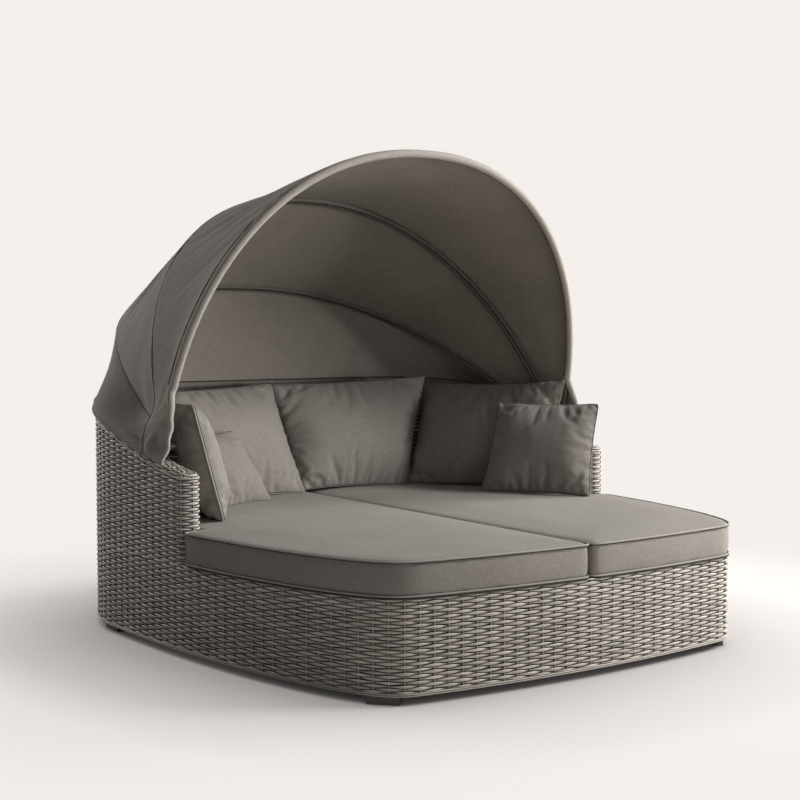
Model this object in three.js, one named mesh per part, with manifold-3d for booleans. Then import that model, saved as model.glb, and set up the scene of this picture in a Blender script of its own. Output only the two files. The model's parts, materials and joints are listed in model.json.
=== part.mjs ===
// Outdoor daybed with a folding canopy, in millimetres, +Z up, front towards -Y.
// A round-cornered woven base and wraparound back on an aluminium frame carry two seat
// cushions, six pillows and three hinged canopy bows, with a fourth bow fixed on the back's rim.
import * as THREE from 'three';
import { mergeVertices } from 'three/addons/utils/BufferGeometryUtils.js';
import Module from 'manifold-3d';

const wasm = await Module();
wasm.setup();

// Plan of the base
const width = 1800;
const depth = 1790;
const rearCornerRadius = 500;
const frontCornerWidth = 290;
const frontBow = 100;

// Heights above the ground
const footHeight = 25;
const baseHeight = 294;
const armHeight = 577;
const backHeight = 772;
const armFrontY = -104;

// General clearances
const touch = 0.3;
const overrun = 5;
const weldDistance = 0.0001;

// Woven skins
const skinThickness = 8;
const wallThickness = 80;
const rimRounding = 18;
const rimRiseShare = 1.5;

// Aluminium frame
const railWidth = 40;
const railDepth = 25;
const wallRailWidth = 30;
const wallRailDepth = 20;
const postWidth = 24;
const bearerWidth = 30;
const slatWidth = 90;
const slatThickness = 12;
const slatCount = 8;
const slatNotchClearance = 1;

// Feet
const footLength = 90;
const footWidth = 50;
const footInset = 46;
const frontFootFromSide = 250;
const sideFootFromBack = 465;
const rearFootFromSide = 470;

// Cushions and pillows
const cushionThickness = 100;
const cushionCrown = 12;
const cushionSplit = 6;
const cushionOverhang = 1;
const cushionPinch = 5;
const cushionRound = 12;
const cushionEdgeLongest = 130;
const wallClearance = 4;
const backPillowHeight = 400;
const backPillowThickness = 150;
const scatterPillowThickness = 120;
const pillowRimThickness = 3;
const pillowDrawInShare = 0.045;
const pillowFullnessShare = 0.62;

// Canopy bows and their pivots
const pivotY = 105;
const pivotRise = 29.6;
const bowTube = 19;
const bowPitch = 22;
const eyeRadius = 13;
const rimBowInset = 14;
const boltRadius = 5;
const boltClearance = 0.3;
const boltHeadRadius = 8.5;
const boltHeadHeight = 4;
const nutHeight = 6;
const cheekThickness = 4;
const bossLength = 14.6;
const cheekHalfWidth = 17;
const bracketLength = 50;
const bracketSeat = 0.7;
const clipRing = 2.4;
const clipClearance = 0.9;
const clipLength = 18;
const clipFoot = 24;

// Each hinged bow: reach from the pivot axis, lean from upright in degrees (+ forward)
// and how square its shoulders are
const frontBowShape = { reach: 996, lean: 16.25, squareShare: 2.2 };
const secondBowShape = { reach: 1000, lean: -30.8, squareShare: 2.15 };
const thirdBowShape = { reach: 1214, lean: -63.75, squareShare: 2.47 };

// Canopy cloth
const clothThickness = 2.4;
const clothClearance = 1.5;
const clothSag = 12;
const clothSeam = 0.4;
const hemDrop = 26;
const hemOut = 4.4;
const clothWrap = 4;
const earFrontY = -20;
const seamHemY = 132;
const mergeReach = 125;
const earReach = 182;
const secondLeave = 200;
const thirdLeave = 250;

// Facets
const cornerSteps = 12;
const bowSteps = 34;
const rimBowSteps = 72;
const tubeSides = 8;
const skirtSteps = 4;
const tailSteps = 3;
const overSteps = 28;
const wallSteps = 46;
const pillowCells = 9;
const arcSteps = 8;

const halfWidth = width / 2;
const halfDepth = depth / 2;
const frontFootX = halfWidth - frontFootFromSide;
const rearFootX = halfWidth - rearFootFromSide;
const sideFootY = halfDepth - sideFootFromBack;
const bearerPlace = halfWidth / 2;
const tubeRadius = bowTube / 2;
const cushionBase = baseHeight + touch;
const cushionTop = cushionBase + cushionThickness;
const seatTop = cushionTop + cushionCrown;

const finishes = {
  wicker: new THREE.MeshStandardMaterial({ color: 0x7b746b, roughness: 0.75, metalness: 0 }),
  frame: new THREE.MeshStandardMaterial({ color: 0x4c4945, roughness: 0.5, metalness: 0.6 }),
  slat: new THREE.MeshStandardMaterial({ color: 0x5a5650, roughness: 0.5, metalness: 0.6 }),
  foot: new THREE.MeshStandardMaterial({ color: 0x34312e, roughness: 0.7, metalness: 0 }),
  cushion: new THREE.MeshStandardMaterial({ color: 0x8b847b, roughness: 0.9, metalness: 0 }),
  pillow: new THREE.MeshStandardMaterial({ color: 0x8a837a, roughness: 0.9, metalness: 0 }),
  canopy: new THREE.MeshStandardMaterial({ color: 0x7d766d, roughness: 0.9, metalness: 0 }),
  bow: new THREE.MeshStandardMaterial({ color: 0x8d8880, roughness: 0.35, metalness: 0.8 }),
  steel: new THREE.MeshStandardMaterial({ color: 0xb4b2ae, roughness: 0.3, metalness: 1 }),
};

const daybed = new THREE.Group();

function addPiece(name, geometry, finish) {
  const mesh = new THREE.Mesh(geometry, finishes[finish]);
  mesh.name = name;
  daybed.add(mesh);
  return mesh;
}

// Booleans on closed meshes
function toManifold(geometry) {
  const bare = geometry.clone();
  bare.deleteAttribute('normal');
  bare.deleteAttribute('uv');
  const merged = mergeVertices(bare, weldDistance);
  return new wasm.Manifold(new wasm.Mesh({
    numProp: 3,
    vertProperties: new Float32Array(merged.attributes.position.array),
    triVerts: new Uint32Array(merged.index.array),
  }));
}

function toGeometry(solid) {
  const mesh = solid.getMesh();
  const geometry = new THREE.BufferGeometry();
  geometry.setAttribute('position', new THREE.BufferAttribute(mesh.vertProperties, 3));
  geometry.setIndex(new THREE.BufferAttribute(mesh.triVerts, 1));
  geometry.computeVertexNormals();
  return geometry;
}

function meshOf(points, triangles) {
  const geometry = new THREE.BufferGeometry();
  const places = points.flatMap((p) => [p.x, p.y, p.z]);
  geometry.setAttribute('position', new THREE.Float32BufferAttribute(places, 3));
  geometry.setIndex(triangles);
  geometry.computeVertexNormals();
  return geometry;
}

// Turns a closed mesh right side out
function facingOut(geometry) {
  const place = geometry.attributes.position;
  const index = geometry.index;
  const a = new THREE.Vector3();
  const b = new THREE.Vector3();
  const c = new THREE.Vector3();
  let volume = 0;
  for (let i = 0; i < index.count; i += 3) {
    a.fromBufferAttribute(place, index.getX(i));
    b.fromBufferAttribute(place, index.getX(i + 1));
    c.fromBufferAttribute(place, index.getX(i + 2));
    volume += a.dot(b.cross(c));
  }
  if (volume < 0) {
    for (let i = 0; i < index.count; i += 3) {
      const second = index.getX(i + 1);
      index.setX(i + 1, index.getX(i + 2));
      index.setX(i + 2, second);
    }
  }
  geometry.computeVertexNormals();
  return geometry;
}

// A skin through closed loops with the same number of points, its ends closed by the loop's own plan
function loft(loops, endPlan) {
  const count = loops[0].length;
  const triangles = [];
  for (let i = 0; i + 1 < loops.length; i += 1) {
    for (let j = 0; j < count; j += 1) {
      const next = (j + 1) % count;
      const near = i * count;
      const far = near + count;
      triangles.push(near + j, near + next, far + next, near + j, far + next, far + j);
    }
  }
  const last = (loops.length - 1) * count;
  const clockwise = THREE.ShapeUtils.isClockWise(endPlan);
  for (const face of THREE.ShapeUtils.triangulateShape(endPlan, [])) {
    const [p, q, r] = clockwise ? face.reverse() : face;
    triangles.push(r, q, p, last + p, last + q, last + r);
  }
  return facingOut(meshOf(loops.flat(), triangles));
}

// Plan outline of the base, moved inwards by inset; anticlockwise from the middle of the back
const frontCornerDepth = depth - rearCornerRadius;

function frontShift(x, y, inset) {
  const forward = Math.max(0, -y / (halfDepth - inset));
  return frontBow * forward * forward * (1 - (x / (halfWidth - inset)) ** 2);
}

// A quarter of an ellipse, each of its points given by a turn in radians
function quarter(centreX, centreY, radiusX, radiusY, from, steps) {
  const points = [];
  for (let i = 0; i <= steps; i += 1) {
    const turn = from + (Math.PI / 2) * (i / steps);
    points.push(new THREE.Vector2(centreX + radiusX * Math.cos(turn), centreY + radiusY * Math.sin(turn)));
  }
  return points;
}

function leftOutline(inset, steps) {
  const sideX = halfWidth - inset;
  const endY = halfDepth - inset;
  const rear = rearCornerRadius - inset;
  const frontX = frontCornerWidth - inset;
  const frontY = frontCornerDepth - inset;
  const back = quarter(-sideX + rear, endY - rear, rear, rear, Math.PI / 2, steps);
  const side = quarter(-sideX + frontX, -endY + frontY, frontX, frontY, Math.PI, steps * 2);
  const points = [new THREE.Vector2(0, endY), ...back, ...side];
  const frontSteps = steps / 2;
  for (let i = 1; i <= frontSteps; i += 1) {
    points.push(new THREE.Vector2((-sideX + frontX) * (1 - i / frontSteps), -endY));
  }
  return points.map((p) => new THREE.Vector2(p.x, p.y - frontShift(p.x, Math.min(p.y, 0), inset)));
}

function withoutDoubles(points, least) {
  return points.filter((p, i) => p.distanceTo(points[(i + points.length - 1) % points.length]) > least);
}

function outline(inset, steps = cornerSteps) {
  const left = leftOutline(inset, steps);
  const right = left.map((p) => new THREE.Vector2(-p.x, p.y)).reverse();
  return withoutDoubles([...left, ...right], touch);
}

// Half width of the outline at one place along Y
function outlineX(y, inset) {
  const points = leftOutline(inset, cornerSteps * 4);
  for (let i = 0; i + 1 < points.length; i += 1) {
    const a = points[i];
    const b = points[i + 1];
    if (y <= a.y && y >= b.y && a.y > b.y) {
      return -THREE.MathUtils.mapLinear(y, a.y, b.y, a.x, b.x);
    }
  }
  return 0;
}

// The place at a share of a line's length
function placeAlong(points, share) {
  const lengths = [0];
  for (let i = 1; i < points.length; i += 1) {
    lengths.push(lengths[i - 1] + points[i].distanceTo(points[i - 1]));
  }
  const target = share * lengths[points.length - 1];
  let next = 1;
  while (next < points.length - 1 && lengths[next] < target) {
    next += 1;
  }
  const step = THREE.MathUtils.inverseLerp(lengths[next - 1], lengths[next], target);
  return points[next - 1].clone().lerp(points[next], step);
}

// The left half of the outline from the middle of the back to one place along Y
function leftLine(inset, endY) {
  const points = leftOutline(inset, cornerSteps * 4).filter((p) => p.y > endY);
  points.push(new THREE.Vector2(-outlineX(endY, inset), endY));
  return points;
}

// Height of the wall's rim: level with the arms at their fronts, rising to the back
function rimHeight(y) {
  const along = THREE.MathUtils.clamp((y - armFrontY) / (halfDepth - armFrontY), 0, 1);
  return armHeight + (backHeight - armHeight) * Math.sin((along * Math.PI) / 2) ** rimRiseShare;
}

const pivotZ = rimHeight(pivotY) + pivotRise;
const slopeStep = touch;
const rimRiseAtPivot = rimHeight(pivotY + slopeStep) - rimHeight(pivotY - slopeStep);
const rimSlope = Math.atan(rimRiseAtPivot / (2 * slopeStep));

// One place on a line round the left side, back and right side: share 0 at its left end, 1 at its
// right one
function placeRound(line, share) {
  const mirror = share > 1 / 2;
  const point = placeAlong(line, Math.abs(share * 2 - 1));
  return new THREE.Vector2(mirror ? -point.x : point.x, point.y);
}

function wallPlace(share, inset) {
  return placeRound(leftLine(inset, armFrontY), share);
}

// A ring or a rail that follows the base's outline
function outlineRing(outerInset, innerInset, low, high) {
  const shape = new THREE.Shape(outline(outerInset));
  shape.holes.push(new THREE.Path(outline(innerInset)));
  const geometry = new THREE.ExtrudeGeometry(shape, { depth: high - low, bevelEnabled: false });
  geometry.translate(0, 0, low);
  return geometry;
}

function box(sizeX, sizeY, sizeZ, x, y, z) {
  const geometry = new THREE.BoxGeometry(sizeX, sizeY, sizeZ);
  geometry.translate(x, y, z);
  return geometry;
}

// Sweeps a section along the wall's plan. Each of its points has an inset from the outline and
// a drop below the rim, and stands on the deck where it has no drop.
function sweepWall(section, steps, fromShare, toShare) {
  const loops = [];
  for (let i = 0; i <= steps; i += 1) {
    const share = THREE.MathUtils.lerp(fromShare, toShare, i / steps);
    loops.push(section.map(({ inset, drop }) => {
      const place = wallPlace(share, inset);
      return new THREE.Vector3(place.x, place.y, drop === undefined ? wallBase : rimHeight(place.y) - drop);
    }));
  }
  const plan = section.map(({ inset, drop = armHeight }) => new THREE.Vector2(inset, -drop));
  return loft(loops, plan);
}

// What share of the wall's length a short length is
function shareOfWall(length) {
  const line = leftLine(wallThickness / 2, armFrontY);
  const half = line.slice(1).reduce((sum, p, i) => sum + p.distanceTo(line[i]), 0);
  return length / half / 2;
}

// Woven skins: a skirt round the base, and a wall with two skins and a rounded rim
const wallBase = baseHeight + touch;

function addWicker() {
  addPiece('base_wicker', outlineRing(0, skinThickness, footHeight, baseHeight), 'wicker');

  const corner = rimRounding * (1 - Math.SQRT1_2);
  const inner = wallThickness;
  const hood = [
    { inset: 0 },
    { inset: 0, drop: rimRounding },
    { inset: corner, drop: corner },
    { inset: rimRounding, drop: 0 },
    { inset: inner - rimRounding, drop: 0 },
    { inset: inner - corner, drop: corner },
    { inset: inner, drop: rimRounding },
    { inset: inner },
  ];
  const channel = [
    ...hood,
    { inset: inner - skinThickness },
    { inset: inner - skinThickness, drop: skinThickness + corner },
    { inset: inner - rimRounding, drop: skinThickness },
    { inset: rimRounding, drop: skinThickness },
    { inset: skinThickness, drop: skinThickness + corner },
    { inset: skinThickness },
  ];
  const endShare = shareOfWall(skinThickness);
  const wall = toManifold(sweepWall(channel, wallSteps, 0, 1))
    .add(toManifold(sweepWall(hood, 1, 0, endShare)))
    .add(toManifold(sweepWall(hood, 1, 1 - endShare, 1)));
  addPiece('back_wicker', toGeometry(wall), 'wicker');
}

// Aluminium frame inside the skins
const railInset = skinThickness + touch;
const deckTop = baseHeight - touch;
const slatBase = deckTop - slatThickness;
const seatRailTop = slatBase - touch;
const seatRailBase = seatRailTop - railDepth;
const floorRailBase = footHeight + touch;
const floorRailTop = floorRailBase + railDepth;
const postInset = railInset + railWidth / 2;
const wallRailDrop = skinThickness + rimRounding / 2 + touch;

// Places where feet and base posts stand
const stations = [
  { name: 'front_left', x: -frontFootX, front: true },
  { name: 'front_right', x: frontFootX, front: true },
  { name: 'left', y: sideFootY, side: -1 },
  { name: 'right', y: sideFootY, side: 1 },
  { name: 'rear_left', x: -rearFootX, front: false },
  { name: 'rear_right', x: rearFootX, front: false },
];

// Where the outline, moved in by inset, passes one place along X
function outlineY(x, inset, front) {
  const points = leftOutline(inset, cornerSteps * 4).filter((p) => (front ? p.y < 0 : p.y > 0));
  const across = -Math.abs(x);
  for (let i = 0; i + 1 < points.length; i += 1) {
    const a = points[i];
    const b = points[i + 1];
    if ((a.x - across) * (b.x - across) <= 0 && a.x !== b.x) {
      return THREE.MathUtils.mapLinear(across, a.x, b.x, a.y, b.y);
    }
  }
  return 0;
}

function stationPlace(station, inset) {
  if (station.side) {
    return new THREE.Vector2(station.side * outlineX(station.y, inset), station.y);
  }
  return new THREE.Vector2(station.x, outlineY(station.x, inset, station.front));
}

// Direction of the outline at a station, so that feet and posts stand square to the rail
function stationTurn(station) {
  if (station.side) {
    return Math.PI / 2;
  }
  const near = outlineY(station.x - touch, postInset, station.front);
  const far = outlineY(station.x + touch, postInset, station.front);
  return Math.atan2(far - near, 2 * touch);
}

// Each foot stands a little further in than its post, clear of the skin's curve
function addFeetAndBasePosts() {
  for (const station of stations) {
    const place = stationPlace(station, postInset);
    const footPlace = stationPlace(station, footInset);
    const turn = stationTurn(station);
    const foot = box(footLength, footWidth, footHeight, 0, 0, footHeight / 2);
    foot.rotateZ(turn);
    foot.translate(footPlace.x, footPlace.y, 0);
    addPiece(`foot_${station.name}`, foot, 'foot');

    const postHeight = seatRailBase - floorRailTop - 2 * touch;
    const post = box(postWidth, postWidth, postHeight, 0, 0, postHeight / 2);
    post.rotateZ(turn);
    post.translate(place.x, place.y, floorRailTop + touch);
    addPiece(`base_post_${station.name}`, post, 'frame');
  }
}

function addRails() {
  const inner = railInset + railWidth;
  addPiece('floor_rail', outlineRing(railInset, inner, floorRailBase, floorRailTop), 'frame');
  addPiece('seat_rail', outlineRing(railInset, inner, seatRailBase, seatRailTop), 'frame');
  const outer = (wallThickness - wallRailWidth) / 2;
  const far = outer + wallRailWidth;
  const rail = [
    { inset: outer, drop: wallRailDrop + wallRailDepth },
    { inset: outer, drop: wallRailDrop },
    { inset: far, drop: wallRailDrop },
    { inset: far, drop: wallRailDrop + wallRailDepth },
  ];
  const endShare = shareOfWall(skinThickness + touch);
  addPiece('wall_rail', sweepWall(rail, wallSteps, endShare, 1 - endShare), 'frame');
}

// Posts inside the wall, between the deck's height and the wall rail
const nearbyShare = 0.001;
const wallPostShares = { left_arm: 0.03, left: 0.25, middle: 0.5, right: 0.75, right_arm: 0.97 };

function wallPostSolid(share, grow) {
  const place = wallPlace(share, wallThickness / 2);
  const ahead = wallPlace(share + nearbyShare, wallThickness / 2);
  const turn = Math.atan2(ahead.y - place.y, ahead.x - place.x);
  const slope = Math.abs(rimHeight(place.y + postWidth) - rimHeight(place.y - postWidth)) / 2;
  const low = seatRailTop + touch;
  const high = rimHeight(place.y) - wallRailDrop - wallRailDepth - slope - touch;
  const side = postWidth + 2 * grow;
  const post = box(side, side, high - low, 0, 0, (high + low) / 2);
  post.rotateZ(turn);
  post.translate(place.x, place.y, 0);
  return post;
}

function addWallPosts() {
  for (const [name, share] of Object.entries(wallPostShares)) {
    addPiece(`wall_post_${name}`, wallPostSolid(share, 0), 'frame');
  }
}

// Deck: two bearers let in between the seat rail's front and back, and slats across them
function addDeck() {
  const inset = railInset + railWidth + touch;
  for (const [name, side] of [['left', -1], ['right', 1]]) {
    const edge = bearerPlace + bearerWidth / 2;
    const rear = outlineY(edge, inset, false);
    const front = Math.max(outlineY(edge, inset, true), outlineY(edge - bearerWidth, inset, true));
    const length = rear - front - 2 * touch;
    const middleZ = (seatRailTop + seatRailBase) / 2;
    addPiece(
      `bearer_${name}`,
      box(bearerWidth, length, railDepth, side * bearerPlace, (rear + front) / 2, middleZ),
      'frame',
    );
  }

  const slatInset = railInset + touch;
  const run = depth + frontBow - 2 * (slatInset + slatWidth);
  const shares = Object.values(wallPostShares);
  const posts = shares.map((share) => toManifold(wallPostSolid(share, slatNotchClearance)));
  const deck = new THREE.Shape(outline(slatInset));
  const deckSolid = new THREE.ExtrudeGeometry(deck, { depth: slatThickness, bevelEnabled: false });
  deckSolid.translate(0, 0, slatBase);
  for (let i = 0; i < slatCount; i += 1) {
    const y = halfDepth - slatInset - slatWidth - (run * i) / (slatCount - 1);
    const strip = box(width, slatWidth, slatThickness * 2, 0, y, slatBase);
    let slat = toManifold(strip).intersect(toManifold(deckSolid));
    for (const post of posts) {
      slat = slat.subtract(post);
    }
    addPiece(`slat_${i + 1}`, toGeometry(slat), 'slat');
  }
}

// Seat cushions: boxed pads with a drawn-in edge and a soft crown, cut round the arms
function cushionPlan() {
  const inside = wallThickness + wallClearance;
  const edge = -cushionOverhang;
  const frontOfArm = armFrontY - wallClearance;
  const points = leftOutline(inside, cornerSteps).filter((p) => p.y > frontOfArm + overrun);
  const plan = points.filter((p) => p.x < -cushionSplit);
  plan.unshift(new THREE.Vector2(-cushionSplit / 2, halfDepth - inside));
  plan.push(new THREE.Vector2(-outlineX(frontOfArm, inside), frontOfArm));
  plan.push(new THREE.Vector2(-outlineX(frontOfArm, edge), frontOfArm));
  for (const p of leftOutline(edge, cornerSteps)) {
    if (p.y < frontOfArm - overrun && p.x < -cushionSplit) {
      plan.push(p);
    }
  }
  plan.push(new THREE.Vector2(-cushionSplit / 2, outlineY(cushionSplit / 2, edge, true)));
  return withoutDoubles(plan, overrun);
}

// Adds points along the long edges of a plan
function withSteps(plan, longest) {
  const points = [];
  plan.forEach((p, i) => {
    const next = plan[(i + 1) % plan.length];
    const steps = Math.ceil(p.distanceTo(next) / longest);
    for (let k = 0; k < steps; k += 1) {
      points.push(p.clone().lerp(next, k / steps));
    }
  });
  return points;
}

const cushionMiddleShares = { across: -0.47, along: -0.34 };
const cushionMiddle = new THREE.Vector2(
  halfWidth * cushionMiddleShares.across,
  halfDepth * cushionMiddleShares.along,
);
const crownInsetShares = [0.033, 0.1, 0.2];
const crownShares = [0.5, 0.88, 1];

function cushionSolid(side) {
  const plan = withSteps(cushionPlan(), cushionEdgeLongest);
  const layers = [
    [cushionRound, cushionBase],
    [0, cushionBase + cushionRound],
    [cushionPinch, (cushionBase + cushionTop) / 2],
    [0, cushionTop - cushionRound / 2],
    [cushionRound / 2, cushionTop],
  ];
  crownInsetShares.forEach((share, i) => {
    layers.push([share * halfWidth, cushionTop + cushionCrown * crownShares[i]]);
  });
  const loops = layers.map(([inset, z]) => plan.map((p) => {
    const inward = cushionMiddle.clone().sub(p).setLength(inset);
    return new THREE.Vector3(side * -(p.x + inward.x), p.y + inward.y, z);
  }));
  return loft(loops, plan);
}

function addCushions() {
  addPiece('seat_cushion_left', cushionSolid(-1), 'cushion');
  addPiece('seat_cushion_right', cushionSolid(1), 'cushion');
}

// Pillows: corners lower left, lower right, upper right, upper left as seen from the front. Their
// places are shares of the room beside the middle, the base's half depth and a back pillow's height.
// Those at an arm are placed across from that arm's pivot, in shares of the same height.
const pillows = [
  {
    name: 'back_pillow_left',
    thickness: backPillowThickness,
    cornerShares: [[-0.765, 0.492, 0], [-0.141, 0.544, 0], [-0.149, 0.821, 0.993], [-0.841, 0.715, 0.955]],
  },
  {
    name: 'back_pillow_middle',
    thickness: backPillowThickness,
    cornerShares: [[-0.057, 0.625, 0], [0.502, 0.563, 0], [0.682, 0.659, 1.045], [-0.061, 0.832, 0.985]],
  },
  {
    name: 'back_pillow_right',
    thickness: backPillowThickness,
    cornerShares: [[0.532, 0.546, 0], [0.948, 0.035, 0], [1.006, 0.022, 1.035], [0.777, 0.687, 0.978]],
  },
  {
    name: 'side_pillow_left',
    thickness: scatterPillowThickness,
    arm: -1,
    cornerShares: [[0.202, -0.032, 0], [0.406, 0.393, 0], [0.206, 0.441, 0.917], [-0.01, 0.016, 0.927]],
  },
  {
    name: 'small_pillow_left',
    thickness: scatterPillowThickness,
    cornerShares: [[-0.731, 0.278, 0], [-0.381, 0.4, 0], [-0.504, 0.525, 0.618], [-0.829, 0.425, 0.6]],
  },
  {
    name: 'side_pillow_right',
    thickness: scatterPillowThickness,
    arm: 1,
    cornerShares: [[-0.714, 0.165, 0], [-0.192, -0.231, 0], [0.069, -0.156, 0.825], [-0.439, 0.201, 0.823]],
  },
];
function pillowSolid({ thickness, arm = 0, cornerShares }) {
  const across = arm ? backPillowHeight : nutInner;
  const [a, b, c, d] = cornerShares.map(([acrossShare, alongShare, upShare]) => new THREE.Vector3(
    arm * nutInner + acrossShare * across,
    alongShare * halfDepth,
    upShare * backPillowHeight + seatTop + touch,
  ));
  const acrossWay = b.clone().sub(a).add(c).sub(d);
  const upWay = d.clone().sub(a).add(c).sub(b);
  const normal = acrossWay.cross(upWay).normalize();
  const n = pillowCells;
  const points = [];
  const place = (u, v, side) => {
    const drawU = u + pillowDrawInShare * (0.5 - u) * 2 * Math.sin(Math.PI * v);
    const drawV = v + pillowDrawInShare * (0.5 - v) * 2 * Math.sin(Math.PI * u);
    const low = a.clone().lerp(b, drawU);
    const high = d.clone().lerp(c, drawU);
    const p = low.lerp(high, drawV);
    const full = (Math.sin(Math.PI * u) * Math.sin(Math.PI * v)) ** pillowFullnessShare;
    p.addScaledVector(normal, (side * THREE.MathUtils.lerp(pillowRimThickness, thickness, full)) / 2);
    p.z = Math.max(p.z, seatTop + touch);
    return p;
  };
  const grid = (side, i, j) => (side < 0 ? 0 : (n + 1) * (n + 1)) + i * (n + 1) + j;
  for (const side of [-1, 1]) {
    for (let i = 0; i <= n; i += 1) {
      for (let j = 0; j <= n; j += 1) {
        points.push(place(i / n, j / n, side));
      }
    }
  }
  const triangles = [];
  for (let i = 0; i < n; i += 1) {
    for (let j = 0; j < n; j += 1) {
      for (const side of [-1, 1]) {
        const quad = [grid(side, i, j), grid(side, i + 1, j), grid(side, i + 1, j + 1), grid(side, i, j + 1)];
        const [p, q, r, s] = side < 0 ? quad.reverse() : quad;
        triangles.push(p, q, r, p, r, s);
      }
    }
  }
  const rim = [];
  for (let k = 0; k < 4 * n; k += 1) {
    const step = k % n;
    rim.push([[step, 0], [n, step], [n - step, n], [0, n - step]][Math.floor(k / n)]);
  }
  rim.forEach(([i, j], k) => {
    const [i2, j2] = rim[(k + 1) % rim.length];
    const [p, q, r, s] = [grid(-1, i, j), grid(-1, i2, j2), grid(1, i2, j2), grid(1, i, j)];
    triangles.push(p, q, r, p, r, s);
  });
  return facingOut(meshOf(points, triangles));
}

function addPillows() {
  for (const pillow of pillows) {
    addPiece(pillow.name, pillowSolid(pillow), 'pillow');
  }
}

// Canopy bows: arched tubes with an eye at each foot, all turning on one axis along X. The rim bow
// is the outermost, then the bracket's outer cheek with its boss, then the hinged bows one by one.
const rimBowX = outlineX(pivotY, rimBowInset);
const eyeHalf = (bowPitch - 2 * touch) / 2;
const rimEyeOuter = rimBowX + eyeHalf;
const rimEyeInner = rimBowX - eyeHalf;
const cheekOuterInner = rimEyeInner - touch - cheekThickness - bossLength;
const frontBowHalfWidth = cheekOuterInner - touch - eyeHalf;
const cheekInnerOuter = frontBowHalfWidth - 2 * bowPitch - eyeHalf - touch;
const nutOuter = cheekInnerOuter - cheekThickness - touch;
const nutInner = nutOuter - nutHeight;

const bows = [
  { name: 'front_bow', halfWidth: frontBowHalfWidth, ...frontBowShape },
  { name: 'second_bow', halfWidth: frontBowHalfWidth - bowPitch, ...secondBowShape },
  { name: 'third_bow', halfWidth: frontBowHalfWidth - 2 * bowPitch, ...thirdBowShape },
];

// A point of a bow's arch: turn 0 at the left foot, PI at the right one; grow moves it outwards
function bowPoint(bow, turn, grow = 0) {
  const power = 2 / bow.squareShare;
  const across = Math.cos(turn);
  const x = -(bow.halfWidth + grow) * Math.sign(across) * Math.abs(across) ** power;
  const reach = (bow.reach + grow) * Math.sin(turn) ** power;
  const lean = THREE.MathUtils.degToRad(bow.lean);
  return new THREE.Vector3(x, pivotY - reach * Math.sin(lean), pivotZ + reach * Math.cos(lean));
}

// The turn at which a bow has come a given reach away from the pivot axis
function turnAtReach(bow, reach) {
  return Math.asin((reach / bow.reach) ** (bow.squareShare / 2));
}

class ArchCurve extends THREE.Curve {
  constructor(bow, startTurn) {
    super();
    this.bow = bow;
    this.startTurn = startTurn;
  }

  getPoint(t, target = new THREE.Vector3()) {
    const turn = THREE.MathUtils.lerp(this.startTurn, Math.PI - this.startTurn, t);
    return target.copy(bowPoint(this.bow, turn));
  }
}

function circleShape(radius, sides) {
  const shape = new THREE.Shape();
  for (let i = 0; i < sides; i += 1) {
    const turn = (2 * Math.PI * i) / sides;
    const [x, y] = [radius * Math.cos(turn), radius * Math.sin(turn)];
    if (i === 0) shape.moveTo(x, y);
    else shape.lineTo(x, y);
  }
  shape.closePath();
  return shape;
}

function tubeAlong(path, radius, steps) {
  return new THREE.ExtrudeGeometry(circleShape(radius, tubeSides), {
    steps,
    bevelEnabled: false,
    extrudePath: path,
  });
}

// A cylinder along X between two places
function pin(radius, fromX, toX, y, z, sides) {
  const geometry = new THREE.CylinderGeometry(radius, radius, Math.abs(toX - fromX), sides);
  geometry.rotateZ(Math.PI / 2);
  geometry.translate((fromX + toX) / 2, y, z);
  return geometry;
}

const eyeSides = 20;
const boltSides = 12;
const nutSides = 6;
const boltHole = boltRadius + boltClearance;

function withEyes(solid, eyes) {
  let result = solid;
  for (const [from, to] of eyes) {
    result = result.add(toManifold(pin(eyeRadius, from, to, pivotY, pivotZ, eyeSides)));
  }
  for (const [from, to] of eyes) {
    const hole = pin(boltHole, from - overrun, to + overrun, pivotY, pivotZ, boltSides);
    result = result.subtract(toManifold(hole));
  }
  return result;
}

function addHingedBows() {
  for (const bow of bows) {
    const start = turnAtReach(bow, boltHole + touch);
    const tube = toManifold(tubeAlong(new ArchCurve(bow, start), tubeRadius, bowSteps));
    const eyes = [-1, 1].map((side) => [side * bow.halfWidth - eyeHalf, side * bow.halfWidth + eyeHalf]);
    addPiece(bow.name, toGeometry(withEyes(tube, eyes)), 'bow');
  }
}

// The rim bow follows the wall's rim at the height of the pivots above it
function rimBowPath(fromY, steps) {
  const line = leftLine(rimBowInset, fromY);
  const points = [];
  for (let i = 0; i <= steps; i += 1) {
    const { x, y } = placeRound(line, i / steps);
    points.push(new THREE.Vector3(x, y, rimHeight(y) + pivotRise));
  }
  return points;
}

function addRimBow() {
  const points = rimBowPath(pivotY, rimBowSteps * 2);
  const path = new THREE.CatmullRomCurve3(points, false, 'centripetal');
  const tube = toManifold(tubeAlong(path, tubeRadius, rimBowSteps));
  const eyes = [[-rimEyeOuter, -rimEyeInner], [rimEyeInner, rimEyeOuter]];
  addPiece('rim_bow', toGeometry(withEyes(tube, eyes)), 'bow');
}

// Pivot brackets: a U of two cheeks on a plate that lies on the wall's rim, with bolt and nut
function stadium(halfX, low, radius) {
  const shape = new THREE.Shape();
  shape.moveTo(-halfX, low);
  shape.lineTo(halfX, low);
  shape.lineTo(radius, 0);
  shape.absarc(0, 0, radius, 0, Math.PI, false);
  shape.closePath();
  return shape;
}

function cheek(fromX, toX, low) {
  const shape = stadium(cheekHalfWidth, low, eyeRadius);
  const geometry = new THREE.ExtrudeGeometry(shape, {
    depth: toX - fromX,
    bevelEnabled: false,
    curveSegments: arcSteps,
  });
  geometry.rotateX(Math.PI / 2);
  geometry.rotateZ(Math.PI / 2);
  geometry.translate(fromX, 0, 0);
  return geometry;
}

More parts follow.
